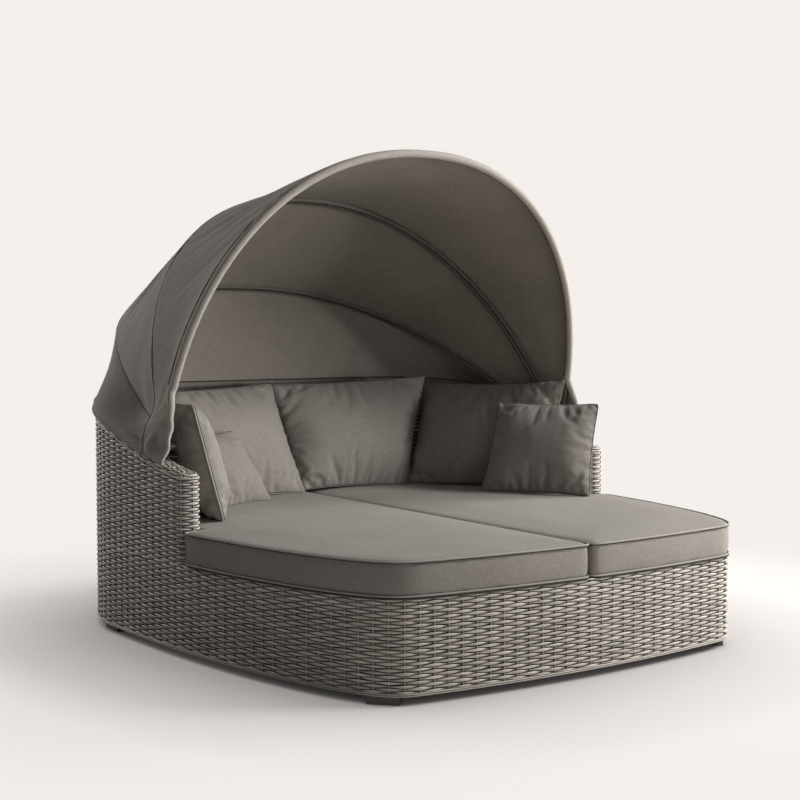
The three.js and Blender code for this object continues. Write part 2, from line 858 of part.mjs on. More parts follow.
function bracketSolid() {
  const plateBase = -pivotRise * Math.cos(rimSlope) + bracketSeat;
  const plateTop = plateBase + cheekThickness;
  const outer = rimEyeInner - touch;
  const inner = cheekInnerOuter - cheekThickness;
  const middleX = (outer + inner) / 2;
  const middleZ = (plateBase + plateTop) / 2;
  const plate = box(outer - inner, bracketLength, cheekThickness, middleX, 0, middleZ);
  let solid = toManifold(plate)
    .add(toManifold(cheek(cheekOuterInner, outer, plateBase)))
    .add(toManifold(cheek(inner, cheekInnerOuter, plateBase)));
  solid = solid.subtract(toManifold(pin(boltHole, inner - overrun, outer + overrun, 0, 0, boltSides)));
  const geometry = toGeometry(solid);
  geometry.rotateX(rimSlope);
  geometry.translate(0, pivotY, pivotZ);
  return geometry;
}

function mirrored(geometry) {
  const copy = geometry.clone();
  copy.scale(-1, 1, 1);
  return facingOut(copy.index ? copy : mergeVertices(copy, weldDistance));
}

function addPivots() {
  const headInner = rimEyeOuter + touch;
  const shank = pin(boltRadius, nutInner - touch, headInner + touch, pivotY, pivotZ, boltSides);
  const head = pin(boltHeadRadius, headInner, headInner + boltHeadHeight, pivotY, pivotZ, eyeSides);
  const bolt = toGeometry(toManifold(shank).add(toManifold(head)));
  const hexagon = toManifold(pin(boltHeadRadius, nutInner, nutOuter, pivotY, pivotZ, nutSides));
  const hole = toManifold(pin(boltHole, nutInner - overrun, nutOuter + overrun, pivotY, pivotZ, boltSides));
  const nut = toGeometry(hexagon.subtract(hole));
  const bracket = bracketSolid();
  for (const [name, geometry, finish] of [
    ['pivot_bracket', bracket, 'frame'],
    ['pivot_bolt', bolt, 'steel'],
    ['pivot_nut', nut, 'steel'],
  ]) {
    addPiece(`${name}_right`, geometry, finish);
    addPiece(`${name}_left`, mirrored(geometry), finish);
  }
}

// Saddle clips that hold the rim bow above the wall's rim
const clipShares = { left: 0.2, rear_left: 0.36, middle: 0.5, rear_right: 0.64, right: 0.8 };

function clipSolid() {
  const inner = tubeRadius + clipClearance;
  const outer = inner + clipRing;
  const low = -pivotRise;
  const shape = new THREE.Shape();
  const legHalf = clipRing * 2;
  const join = Math.acos(legHalf / outer);
  shape.moveTo(-clipFoot / 2, low);
  shape.lineTo(clipFoot / 2, low);
  shape.lineTo(clipFoot / 2, low + clipRing);
  shape.lineTo(legHalf, low + clipRing);
  shape.lineTo(legHalf, -outer * Math.sin(join));
  shape.absarc(0, 0, outer, -join, Math.PI + join, false);
  shape.lineTo(-legHalf, low + clipRing);
  shape.lineTo(-clipFoot / 2, low + clipRing);
  shape.closePath();
  shape.holes.push(circleShape(inner, eyeSides));
  const geometry = new THREE.ExtrudeGeometry(shape, {
    depth: clipLength,
    bevelEnabled: false,
    curveSegments: arcSteps,
  });
  geometry.translate(0, 0, -clipLength / 2);
  geometry.rotateX(Math.PI / 2);
  return geometry;
}

function addClips() {
  const points = rimBowPath(pivotY, rimBowSteps * 2);
  const path = new THREE.CatmullRomCurve3(points, false, 'centripetal');
  for (const [name, share] of Object.entries(clipShares)) {
    const place = path.getPointAt(share);
    const along = path.getTangentAt(share);
    const turn = Math.atan2(along.y, along.x) - Math.PI / 2;
    const rise = Math.atan2(along.z, Math.hypot(along.x, along.y));
    const geometry = clipSolid();
    geometry.translate(0, 0, touch);
    geometry.rotateX(rise);
    geometry.rotateZ(turn);
    geometry.translate(place.x, place.y, place.z);
    addPiece(`rim_clip_${name}`, geometry, 'frame');
  }
}

// Canopy cloth. Each meridian runs from the left hem over a bow to the right hem. A point of it is
// either on the tube's middle line, with the tube's direction, or on the cloth itself.
const clothOut = tubeRadius + clothClearance + clothThickness;
const rimClothOut = rimBowInset + hemOut + clothThickness;
const skirtPlanPowerShare = 4;
const skirtDropPowerShare = 2;

function hemPoint(y) {
  const x = -outlineX(y, -hemOut - clothThickness);
  return new THREE.Vector3(x, y, rimHeight(y) + pivotRise - hemDrop);
}

// From the hem up to a point near a bow: the cloth drops at the rim's width and comes inwards above it
function skirt(hem, top) {
  const points = [];
  for (let k = 0; k <= skirtSteps; k += 1) {
    const down = 1 - k / skirtSteps;
    const planShare = 1 - (1 - down) ** skirtPlanPowerShare;
    const dropShare = down ** skirtDropPowerShare;
    points.push(new THREE.Vector3(
      THREE.MathUtils.lerp(top.x, hem.x, planShare),
      THREE.MathUtils.lerp(top.y, hem.y, down),
      THREE.MathUtils.lerp(top.z, hem.z, dropShare),
    ));
  }
  return points;
}

function mirrorPoint(p) {
  return new THREE.Vector3(-p.x, p.y, p.z);
}

// Gives each of a line's points the line's direction and the cloth's distance from it
function withDirections(points, out) {
  const last = points.length - 1;
  return points.map((place, i) => ({
    place,
    out,
    along: points[Math.min(i + 1, last)].clone().sub(points[Math.max(i - 1, 0)]).normalize(),
  }));
}

// Joins hem, merge point and bow into one meridian from the left hem to the right one
function meridian(hem, merge, bow, leave) {
  const start = turnAtReach(bow, leave);
  const over = [];
  for (let k = 0; k <= overSteps; k += 1) {
    over.push(bowPoint(bow, THREE.MathUtils.lerp(start, Math.PI - start, k / overSteps)));
  }
  const left = skirt(hem, merge);
  const landing = bowPoint(bow, start, clothOut);
  for (let k = 1; k < tailSteps; k += 1) {
    left.push(merge.clone().lerp(landing, k / tailSteps));
  }
  const leftEnd = withDirections([...left, landing], 0).slice(0, -1);
  const rightEnd = withDirections([...left, landing].map(mirrorPoint).reverse(), 0).slice(1);
  return [...leftEnd, ...withDirections(over, clothOut), ...rightEnd];
}

const [frontBowPiece, secondBowPiece, thirdBowPiece] = bows;
const mergePoint = bowPoint(thirdBowPiece, turnAtReach(thirdBowPiece, mergeReach), clothOut);
mergePoint.x = -secondBowPiece.halfWidth - clothOut;
const earPoint = bowPoint(frontBowPiece, turnAtReach(frontBowPiece, earReach), clothOut);
const frontMeridian = meridian(hemPoint(earFrontY), earPoint, frontBowPiece, earReach + overrun);
const secondMeridian = meridian(hemPoint(seamHemY), mergePoint, secondBowPiece, secondLeave);
const thirdMeridian = meridian(hemPoint(seamHemY), mergePoint, thirdBowPiece, thirdLeave);
const rimMeridian = withDirections(
  rimBowPath(seamHemY + overrun, thirdMeridian.length - 1),
  rimClothOut,
);

// Outward direction square to a line and to the cloth that leaves it for another place
function clothNormal({ place, along }, other) {
  const normal = other.clone().sub(place).cross(along).normalize();
  const outward = place.clone().sub(new THREE.Vector3(0, pivotY, pivotZ));
  return normal.dot(outward) < 0 ? normal.negate() : normal;
}

const sagShares = [0.25, 0.5, 0.75];

// Outward direction at a seam, halfway between those of its two cloths
function seamNormal(point, towards, beyond) {
  return clothNormal(point, towards).add(clothNormal(point, beyond)).normalize();
}

// The row of a cloth along its seam on a meridian, moved off the seam by half the gap between cloths.
// The cloth stands off a little more where it bends sharply over the tube.
function seamRow(self, towards, beyond) {
  return self.map((point, i) => {
    const { place, out } = point;
    const step = towards[i].place.clone().sub(place);
    step.setLength(Math.min(clothSeam, step.length() / 2));
    const normal = seamNormal(point, towards[i].place, beyond[i].place);
    const halfBend = normal.angleTo(clothNormal(point, towards[i].place)) / 2;
    return { place: place.clone().addScaledVector(normal, out / Math.cos(halfBend)).add(step), normal };
  });
}

// The row where a cloth leaves the tube that it wraps, or runs close beside its seam elsewhere
function wrapRow(self, towards, beyond) {
  return self.map((point, i) => {
    const { place, out } = point;
    const step = towards[i].place.clone().sub(place);
    const near = clothNormal(point, towards[i].place);
    const middle = seamNormal(point, towards[i].place, beyond[i].place);
    if (out > 0 && near.clone().sub(middle).dot(step) > 0) {
      return { place: place.clone().addScaledVector(near, out), normal: near };
    }
    step.setLength(Math.min(clothWrap, step.length() / 3));
    return { place: place.clone().addScaledVector(middle, out).add(step), normal: middle };
  });
}

// Rows between two others, hollowed a little where the cloth is wide
function stretchRows(from, to, nearHem) {
  const middle = new THREE.Vector3(0, pivotY, pivotZ);
  return sagShares.map((share) => from.map((p, i) => {
    const place = p.place.clone().lerp(to[i].place, share);
    const fromEnd = Math.min(i, from.length - 1 - i) - skirtSteps - tailSteps;
    const wideShare = THREE.MathUtils.clamp(fromEnd / tailSteps, 0, 1);
    const inward = middle.clone().sub(place).setLength(nearHem ? clothSag / 2 : clothSag);
    return { place: place.addScaledVector(inward, wideShare * Math.sin(Math.PI * share) ** 2) };
  }));
}

// A cloth of even thickness under a grid of points, its outer face on the grid
function clothSolid(rows) {
  const rowCount = rows.length;
  const count = rows[0].length;
  const centre = new THREE.Vector3(0, pivotY, pivotZ);
  const outer = rows.flat().map((point) => point.place);
  const inner = [];
  for (let i = 0; i < rowCount; i += 1) {
    for (let j = 0; j < count; j += 1) {
      const { place, normal } = rows[i][j];
      const before = rows[Math.max(i - 1, 0)][j].place;
      const after = rows[Math.min(i + 1, rowCount - 1)][j].place;
      const left = rows[i][Math.max(j - 1, 0)].place;
      const right = rows[i][Math.min(j + 1, count - 1)].place;
      const rowWay = after.clone().sub(before);
      const square = normal ? normal.clone() : rowWay.cross(right.clone().sub(left)).normalize();
      if (square.dot(place.clone().sub(centre)) < 0) {
        square.negate();
      }
      inner.push(place.clone().addScaledVector(square, -clothThickness));
    }
  }
  const size = rowCount * count;
  const lastRow = rowCount - 1;
  const lastPoint = count - 1;
  const at = (i, j, side) => side * size + i * count + j;
  const triangles = [];
  const quad = (p, q, r, s) => triangles.push(p, q, r, p, r, s);
  for (let i = 0; i + 1 < rowCount; i += 1) {
    for (let j = 0; j + 1 < count; j += 1) {
      quad(at(i, j, 0), at(i + 1, j, 0), at(i + 1, j + 1, 0), at(i, j + 1, 0));
      quad(at(i, j, 1), at(i, j + 1, 1), at(i + 1, j + 1, 1), at(i + 1, j, 1));
    }
  }
  for (let j = 0; j + 1 < count; j += 1) {
    quad(at(0, j, 0), at(0, j + 1, 0), at(0, j + 1, 1), at(0, j, 1));
    quad(at(lastRow, j + 1, 0), at(lastRow, j, 0), at(lastRow, j, 1), at(lastRow, j + 1, 1));
  }
  for (let i = 0; i < lastRow; i += 1) {
    quad(at(i + 1, 0, 0), at(i, 0, 0), at(i, 0, 1), at(i + 1, 0, 1));
    quad(at(i, lastPoint, 0), at(i + 1, lastPoint, 0), at(i + 1, lastPoint, 1), at(i, lastPoint, 1));
  }
  return facingOut(meshOf([...outer, ...inner], triangles));
}

function clothBetween(first, second, beforeFirst, afterSecond) {
  const from = wrapRow(first, second, beforeFirst);
  const to = wrapRow(second, first, afterSecond);
  return clothSolid([
    seamRow(first, second, beforeFirst),
    from,
    ...stretchRows(from, to, false),
    to,
    seamRow(second, first, afterSecond),
  ]);
}

function addCanopy() {
  const side = rimMeridian.map(({ place, along, out }) => {
    const normal = new THREE.Vector3(-along.y, along.x, 0).normalize();
    return { place: place.clone().addScaledVector(normal, out), normal };
  });
  const hem = side.map(({ place, normal }) => ({ place: place.clone().setZ(place.z - hemDrop), normal }));

  // Below the merge point the front and rear cloths share one seam
  const inSkirt = (i) => Math.min(i, thirdMeridian.length - 1 - i) <= skirtSteps;
  const below = rimMeridian.map((point, i) => (inSkirt(i) ? hem[i] : point));
  const afterSecond = thirdMeridian.map((point, i) => (inSkirt(i) ? below[i] : point));
  const beforeThird = secondMeridian.map((point, i) => (inSkirt(i) ? frontMeridian[i] : point));
  addPiece('canopy_front', clothBetween(frontMeridian, secondMeridian, frontMeridian, afterSecond), 'canopy');

  // The middle cloth narrows to a point where its two seams meet, so it starts just above it
  const skip = skirtSteps + 1;
  const trim = (row) => row.slice(skip, row.length - skip);
  const [front, second, third, rim] = [frontMeridian, secondMeridian, thirdMeridian, rimMeridian].map(trim);
  addPiece('canopy_middle', clothBetween(second, third, front, rim), 'canopy');

  const nearEnd = (row, dropShare) => row.map(({ place, normal }, i) => {
    const share = Math.min(1, Math.min(i, row.length - 1 - i) / skirtSteps);
    const plainPlace = thirdMeridian[i].place.clone().lerp(hem[i].place, dropShare);
    return { place: plainPlace.lerp(place, share), normal: share < 1 ? undefined : normal };
  });
  const seam = seamRow(thirdMeridian, below, beforeThird);
  const from = wrapRow(thirdMeridian, below, beforeThird);
  const knee = nearEnd(wrapRow(rimMeridian, thirdMeridian, thirdMeridian), 1 / 2);
  const lowKnee = nearEnd(side, 3 / 4);
  const rows = [seam, from, ...stretchRows(from, knee, true), knee, lowKnee, hem];
  addPiece('canopy_rear', clothSolid(rows), 'canopy');
}

addWicker();
addRails();
addFeetAndBasePosts();
addWallPosts();
addDeck();
addCushions();
addPillows();
addHingedBows();
addRimBow();
addPivots();
addClips();
addCanopy();

// The origin lies on the ground under the middle of the whole daybed
const reach = new THREE.Box3().setFromObject(daybed, true);
daybed.position.y = -(reach.min.y + reach.max.y) / 2;

export default daybed;
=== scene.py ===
import json
import math

import bmesh
import bpy
import numpy as np
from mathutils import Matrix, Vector, kdtree, noise


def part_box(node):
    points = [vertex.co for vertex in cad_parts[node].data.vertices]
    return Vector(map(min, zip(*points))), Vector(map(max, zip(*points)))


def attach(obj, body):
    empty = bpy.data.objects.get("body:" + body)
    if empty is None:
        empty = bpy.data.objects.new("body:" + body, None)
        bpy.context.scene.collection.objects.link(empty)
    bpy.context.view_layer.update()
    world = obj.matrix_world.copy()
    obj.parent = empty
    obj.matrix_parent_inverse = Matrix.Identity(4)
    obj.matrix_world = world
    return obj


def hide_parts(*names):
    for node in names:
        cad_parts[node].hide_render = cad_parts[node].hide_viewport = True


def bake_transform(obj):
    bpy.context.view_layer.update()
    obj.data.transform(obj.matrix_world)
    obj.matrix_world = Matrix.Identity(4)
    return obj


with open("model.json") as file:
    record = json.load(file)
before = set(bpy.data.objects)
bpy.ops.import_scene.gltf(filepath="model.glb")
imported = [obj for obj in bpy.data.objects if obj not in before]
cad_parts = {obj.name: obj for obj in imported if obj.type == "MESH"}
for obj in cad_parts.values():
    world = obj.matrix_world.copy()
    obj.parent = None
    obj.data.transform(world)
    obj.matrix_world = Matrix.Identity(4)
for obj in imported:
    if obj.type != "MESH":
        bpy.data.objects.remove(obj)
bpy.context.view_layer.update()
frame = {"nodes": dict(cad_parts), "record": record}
nodes = frame["nodes"]
print("frame loaded,", len(nodes), "parts")

# The plan of the base and the height of the wall's rim, as the frame has them, in metres
plan = {
    "width": 1.8,
    "depth": 1.79,
    "rearCorner": 0.5,
    "frontCorner": 0.29,
    "frontBow": 0.1,
    "baseLow": 0.025,
    "baseHigh": 0.294,
    "armHeight": 0.577,
    "backHeight": 0.772,
    "armFront": -0.104,
    "riseShare": 1.5,
    "wall": 0.08,
    "pivotY": 0.105,
    "pivotRise": 0.0296,
}
halfWidth = plan["width"] / 2
halfDepth = plan["depth"] / 2
wickerLow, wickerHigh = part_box("base_wicker")
backward = (wickerLow.y + wickerHigh.y + plan["frontBow"]) / 2  # the plan's middle, as the frame places it


def deselect():
    if bpy.context.object and bpy.context.object.mode != "OBJECT":
        bpy.ops.object.mode_set(mode="OBJECT")
    bpy.ops.object.select_all(action="DESELECT")


def select(piece):
    deselect()
    piece.select_set(True)
    bpy.context.view_layer.objects.active = piece


def applyAll(piece):
    select(piece)
    for modifier in list(piece.modifiers):
        bpy.ops.object.modifier_apply(modifier=modifier.name)


def named(name):
    piece = bpy.context.object
    piece.name = name
    piece.data.name = name
    return piece


def camelName(node):
    return "".join(word.capitalize() if i else word for i, word in enumerate(node.split("_")))


def meshPiece(name, places, faces):
    mesh = bpy.data.meshes.new(name)
    mesh.from_pydata([tuple(p) for p in places], [], [tuple(f) for f in faces])
    mesh.update()
    piece = bpy.data.objects.new(name, mesh)
    bpy.context.scene.collection.objects.link(piece)
    return piece


# Faces between rows of places that lie one beside the other, each row with so many places
def gridFaces(rowCount, wide, closed):
    faces = []
    for i in range(rowCount - 1):
        for j in range(wide if closed else wide - 1):
            a, b = i * wide + j, i * wide + (j + 1) % wide
            faces.append((a, b, b + wide, a + wide))
    return faces


def smooth(piece, degrees=None):
    select(piece)
    if degrees:
        bpy.ops.object.shade_smooth_by_angle(angle=math.radians(degrees))
    else:
        bpy.ops.object.shade_smooth()


# Work on a piece's mesh in edit mode, with bmesh and then with operators, on all of it or as selected
def edited(piece, work=None, operators=(), whole=True):
    select(piece)
    bpy.ops.object.mode_set(mode="EDIT")
    if work:
        work(bmesh.from_edit_mesh(piece.data))
        bmesh.update_edit_mesh(piece.data)
    if whole:
        bpy.ops.mesh.select_all(action="SELECT")
    for operator, values in operators:
        operator(**values)
    bpy.ops.object.mode_set(mode="OBJECT")


def recalc(piece):
    edited(piece, operators=[(bpy.ops.mesh.normals_make_consistent, {"inside": False})])


def thicken(piece, thickness, offset=-1):
    thick = piece.modifiers.new("thickness", "SOLIDIFY")
    thick.thickness = thickness
    thick.offset = offset
    applyAll(piece)


def refine(piece):
    finer = piece.modifiers.new("finer", "SUBSURF")
    finer.levels = 1
    finer.render_levels = 1
    applyAll(piece)


def finishPiece(piece, material, body, replaced=()):
    piece.data.materials.clear()
    piece.data.materials.append(material)
    if body:
        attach(piece, body)
    if replaced:
        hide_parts(*replaced)
    return piece


# Camera, where the photograph was taken from
camera = {
    "place": (-2.83965, -4.07947, 1.03651),
    "yaw": 0.61006,
    "pitch": 0.05329,
    "lens": 64.7,
    "sensor": 36,
    "farthest": 60,
}


def addCamera():
    deselect()
    x, y, z = camera["place"]
    turn = (math.pi / 2 - camera["pitch"], 0, -camera["yaw"])
    bpy.ops.object.camera_add(location=(x, y + backward, z), rotation=turn)
    view = bpy.context.object
    view.data.lens = camera["lens"]
    view.data.sensor_width = camera["sensor"]
    view.data.clip_end = camera["farthest"]
    bpy.context.scene.camera = view


addCamera()
print("camera placed")

# Floor, backdrop and lamps; the fill is a narrow lamp that reaches under the canopy
studio = {
    "paleColour": (0.912, 0.869, 0.838, 1),
    "floorColour": (0.66, 0.63, 0.61, 1),
    "litColour": (0.36, 0.35, 0.342, 1),
    "floorSize": 60,
    "nearGlow": 0.66,
    "contact": 0.65,
    "contactPower": 1.5,
    "clearFrom": 1.15,
    "clearTo": 2.5,
    "worldColour": (1.0, 0.99, 0.98, 1),
    "worldEven": 0.055,
    "warm": (1, 0.985, 0.965),
    "cool": (1, 0.99, 0.98),
    "lamps": {
        "keyLamp": {"towards": (0.66, -0.52, 0.52), "distance": 6, "size": 2.2, "power": 288, "tint": "warm"},
        "sideLamp": {"towards": (0.95, -0.15, 0.35), "distance": 6, "size": 2.2, "power": 278, "tint": "warm"},
        "frontLamp": {"towards": (-0.1, -0.97, 0.2), "distance": 7, "size": 3.0, "power": 29, "tint": "cool"},
        "backLamp": {"towards": (-0.3, 0.85, 0.36), "distance": 7, "size": 3.0, "power": 140, "tint": "cool"},
    },
    "fill": {"place": (2.4, -6.2, 0.95), "aim": (-0.25, 0.5, 0.93), "angle": 13, "blend": 0.55, "size": 0.5,
             "power": 943, "tint": "warm"},
    "aim": (0, -0.2, 0.5),
}


# Values and links for a node's sockets, by name or number
def feed(tree, node, inputs):
    for key, value in dict(inputs).items():
        if isinstance(value, bpy.types.NodeSocket):
            tree.links.new(value, node.inputs[key])
        else:
            node.inputs[key].default_value = value
    return node


def addNode(tree, kind, inputs=(), **settings):
    node = tree.nodes.new(kind)
    for name, value in settings.items():
        setattr(node, name, value)
    return feed(tree, node, inputs)


def mathNode(tree, operation, *values):
    return addNode(tree, "ShaderNodeMath", enumerate(values), operation=operation).outputs[0]


def rangeNode(tree, value, **ends):
    names = {"fromMin": "From Min", "fromMax": "From Max", "toMin": "To Min", "toMax": "To Max"}
    inputs = {"Value": value, **{names[key]: end for key, end in ends.items()}}
    return addNode(tree, "ShaderNodeMapRange", inputs)


def mixNode(tree, factor, first, second):
    inputs = {"Factor": factor, "A": first, "B": second}
    return addNode(tree, "ShaderNodeMix", inputs, data_type="RGBA").outputs["Result"]


def noiseNode(tree, vector, scale, detail, **others):
    inputs = {"Vector": vector, "Scale": scale, "Detail": detail, **others}
    return addNode(tree, "ShaderNodeTexNoise", inputs).outputs["Fac"]


def mapNode(tree, vector, scale, location=(0, 0, 0)):
    inputs = {"Vector": vector, "Scale": scale, "Location": location}
    return addNode(tree, "ShaderNodeMapping", inputs).outputs[0]


def rampNode(tree, value, *stops):
    ramp = addNode(tree, "ShaderNodeValToRGB", {"Fac": value})
    for element, (position, colour) in zip(ramp.color_ramp.elements, stops):
        element.position = position
        element.color = tuple(colour) + (1,)
    return ramp.outputs["Color"]


def bumpNode(tree, height, strength, distance):
    inputs = {"Height": height, "Strength": strength, "Distance": distance}
    return addNode(tree, "ShaderNodeBump", inputs).outputs["Normal"]


def newMaterial(name):
    material = bpy.data.materials.new(name)
    material.use_nodes = True
    return material, material.node_tree, material.node_tree.nodes["Principled BSDF"]


# The camera sees the floor a little brighter than it is lit, and further off in the backdrop's own colour
def addFloor():
    deselect()
    bpy.ops.mesh.primitive_plane_add(size=studio["floorSize"], location=(0, 0, 0))
    floor = named("floor")
    material, tree, shader = newMaterial("paleFloor")
    feed(tree, shader, {"Base Color": studio["floorColour"], "Roughness": 0.95, "Specular IOR Level": 0.05})
    place = addNode(tree, "ShaderNodeTexCoord").outputs["Object"]
    reach = addNode(tree, "ShaderNodeVectorMath", {0: place}, operation="LENGTH").outputs["Value"]
    clear = rangeNode(tree, reach, fromMin=studio["clearFrom"], fromMax=studio["clearTo"])
    clear.interpolation_type = "SMOOTHSTEP"
    clear = clear.outputs["Result"]
    litColour = mixNode(tree, clear, studio["litColour"], (0, 0, 0, 1))
    lit = addNode(tree, "ShaderNodeBsdfDiffuse", {"Color": litColour})
    # painted contact shadow: the glow is darker where the piece stands close over the floor
    under = addNode(tree, "ShaderNodeAmbientOcclusion", {"Distance": studio["contact"]}).outputs["AO"]
    strength = rangeNode(tree, clear, toMin=studio["nearGlow"], toMax=1).outputs["Result"]
    glowWithContactShade = mathNode(tree, "MULTIPLY", strength, mathNode(tree, "POWER", under, studio["contactPower"]))
    glow = addNode(tree, "ShaderNodeEmission", {"Color": studio["paleColour"], "Strength": glowWithContactShade})
    both = addNode(tree, "ShaderNodeAddShader", {0: lit.outputs[0], 1: glow.outputs[0]})
    seen = addNode(tree, "ShaderNodeLightPath").outputs["Is Camera Ray"]
    mix = addNode(tree, "ShaderNodeMixShader", {"Fac": seen, 1: shader.outputs[0], 2: both.outputs[0]})
    tree.links.new(mix.outputs[0], tree.nodes["Material Output"].inputs["Surface"])
    floor.data.materials.append(material)


def addWorld():
    world = bpy.data.worlds.new("studioWorld")
    world.use_nodes = True
    bpy.context.scene.world = world
    tree = world.node_tree
    tree.nodes.clear()
    seen, light = (
        addNode(tree, "ShaderNodeBackground", {"Color": studio[colour], "Strength": strength})
        for colour, strength in (("paleColour", 1), ("worldColour", studio["worldEven"]))
    )
    path = addNode(tree, "ShaderNodeLightPath").outputs
    direct = mathNode(tree, "MAXIMUM", path["Is Camera Ray"], path["Is Glossy Ray"])
    mix = addNode(tree, "ShaderNodeMixShader", {"Fac": direct, 1: light.outputs[0], 2: seen.outputs[0]})
    addNode(tree, "ShaderNodeOutputWorld", {"Surface": mix.outputs[0]})


# A lamp at a place, looking back along a direction
def addLamp(name, kind, values, place, back):
    lamp = bpy.data.lights.new(name, kind)
    lamp.energy = values["power"]
    lamp.color = studio[values["tint"]]
    holder = bpy.data.objects.new(name, lamp)
    bpy.context.scene.collection.objects.link(holder)
    holder.location = place
    holder.rotation_euler = back.to_track_quat("Z", "Y").to_euler()
    return lamp


def addLamps():
    for name, values in studio["lamps"].items():
        towards = Vector(values["towards"]).normalized()
        lamp = addLamp(name, "AREA", values, Vector(studio["aim"]) + towards * values["distance"], towards)
        lamp.shape = "DISK"
        lamp.size = values["size"]
    values = studio["fill"]
    back = Vector(values["place"]) - Vector(values["aim"])
    lamp = addLamp("fillLamp", "SPOT", values, values["place"], back)
    lamp.spot_size = math.radians(values["angle"])
    lamp.spot_blend = values["blend"]
    lamp.shadow_soft_size = values["size"]


addFloor()
addWorld()
addLamps()
bpy.context.scene.view_settings.view_transform = "Standard"
print("floor and lamps placed")

# Plan lines, from the middle of the back round the left side to the middle of the front
frontBend = {
    "count": 400,
    "sideFrom": -0.3,
    "sideOver": 0.25,
    "frontFrom": -0.15,
    "frontOver": 0.15,
    "steps": [0.5, -0.503] * 300 + [0.5] * 12,
}


# A share that starts and ends gently
def gentle(share):
    return share * share * (3 - 2 * share)


def quarter(centre, radii, start, steps):
    turns = start + np.linspace(0, math.pi / 2, steps + 1)
    return np.column_stack([centre[0] + radii[0] * np.cos(turns), centre[1] + radii[1] * np.sin(turns)])


def leftOutline(inset, steps=64):
    sideX, endY = halfWidth - inset, halfDepth - inset
    rear = plan["rearCorner"] - inset
    frontX = plan["frontCorner"] - inset
    frontY = plan["depth"] - plan["rearCorner"] - inset
    back = quarter((-sideX + rear, endY - rear), (rear, rear), math.pi / 2, steps)
    side = quarter((-sideX + frontX, -endY + frontY), (frontX, frontY), math.pi, steps * 2)
    front = np.column_stack([np.linspace(-sideX + frontX, 0, steps // 2 + 1)[1:], np.full(steps // 2, -endY)])
    points = np.vstack([[(0, endY)], back, side[1:], front])
    forward = np.maximum(0, -np.minimum(points[:, 1], 0) / endY)
    points[:, 1] -= plan["frontBow"] * forward**2 * (1 - (points[:, 0] / sideX) ** 2)
    return easedBend(points)


# The bend from the long side into the front, eased so that it turns gradually
def easedBend(points):
    line = evenly(points, frontBend["count"])
    low = np.clip((frontBend["sideFrom"] - line[:, 1]) / frontBend["sideOver"], 0, 1)
    away = np.clip((frontBend["frontFrom"] - line[:, 0]) / frontBend["frontOver"], 0, 1)
    share = (gentle(low) * away)[1:-1, None]
    # each step in is followed by one out, so that the line keeps its place
    for step in frontBend["steps"]:
        line[1:-1] += share * step * ((line[:-2] + line[2:]) / 2 - line[1:-1])
    return line


def outlineX(y, inset):
    points = leftOutline(inset)
    return -np.interp(-y, -points[:, 1], points[:, 0])


def rimHeight(y):
    along = np.clip((y - plan["armFront"]) / (halfDepth - plan["armFront"]), 0, 1)
    rise = plan["backHeight"] - plan["armHeight"]
    return plan["armHeight"] + rise * np.sin(along * math.pi / 2) ** plan["riseShare"]


def unit(values):
    size = np.linalg.norm(values, axis=-1, keepdims=True)
    return values / np.maximum(size, 1e-12)


def lengths(points):
    return np.concatenate([[0], np.cumsum(np.linalg.norm(np.diff(points, axis=0), axis=1))])


def evenly(points, count):
    along = lengths(points)
    places = np.linspace(0, along[-1], count)
    return np.column_stack([np.interp(places, along, points[:, k]) for k in range(points.shape[1])])


def eased(line, times):
    for _ in range(times):
        line = (np.roll(line, 1, 0) + 2 * line + np.roll(line, -1, 0)) / 4
    return line


# A tube round a line of points, closed at its ends
def tube(name, line, radius, sides):
    count = len(line)
    ways = unit(np.gradient(line, axis=0))
    reference = np.array((0, 0, 1.0))
    if np.abs(ways @ reference).max() > 0.95:
        reference = np.array((0.3, 1.0, 0.2))
    places = []
    side = np.cross(ways[0], reference)
    for way, centre, size in zip(ways, line, np.broadcast_to(radius, count)):
        side = side - way * (side @ way)
        side /= np.linalg.norm(side)
        top = np.cross(side, way)
        for k in range(sides):
            turn = 2 * math.pi * k / sides
            places.append(centre + size * (math.cos(turn) * side + math.sin(turn) * top))
    faces = gridFaces(count, sides, True)
    faces.append(tuple(range(sides))[::-1])
    faces.append(tuple(range((count - 1) * sides, count * sides)))
    piece = meshPiece(name, places, faces)
    recalc(piece)
    smooth(piece, 60)
    return piece


# Fabrics and finishes
finishes = {
    "canopyCloth": {
        "colour": (0.318, 0.29, 0.258),
        "light": 1.15, "thread": 0.0030, "bump": 0.25, "rough": 0.88,
    },
    "seatCloth": {
        "colour": (0.29, 0.268, 0.243),
        "light": 1.13, "thread": 0.0026, "bump": 0.3, "rough": 0.9,
    },
    "pillowCloth": {
        "colour": (0.26, 0.241, 0.219),
        "light": 1.14, "thread": 0.0032, "bump": 0.3, "rough": 0.9,
    },
    "pipingCloth": {
        "colour": (0.40, 0.375, 0.345),
        "light": 1.08, "thread": 0.0025, "bump": 0.2, "rough": 0.8,
    },
    "bandCloth": {
        "colour": (0.42, 0.388, 0.35),
        "light": 1.1, "thread": 0.0030, "bump": 0.25, "rough": 0.85,
    },
    "sleeveCloth": {
        "colour": (0.2, 0.182, 0.162),
        "light": 1.15, "thread": 0.0030, "bump": 0.25, "rough": 0.88,
    },
    # near-black cords: seam thread, darkened to paint the shade of the grooves and gaps they lie in
    "threadAndShadeLine": {
        "colour": (0.045, 0.041, 0.036),
        "light": 1.2, "thread": 0.0016, "bump": 0.3, "rough": 0.9,
    },
}
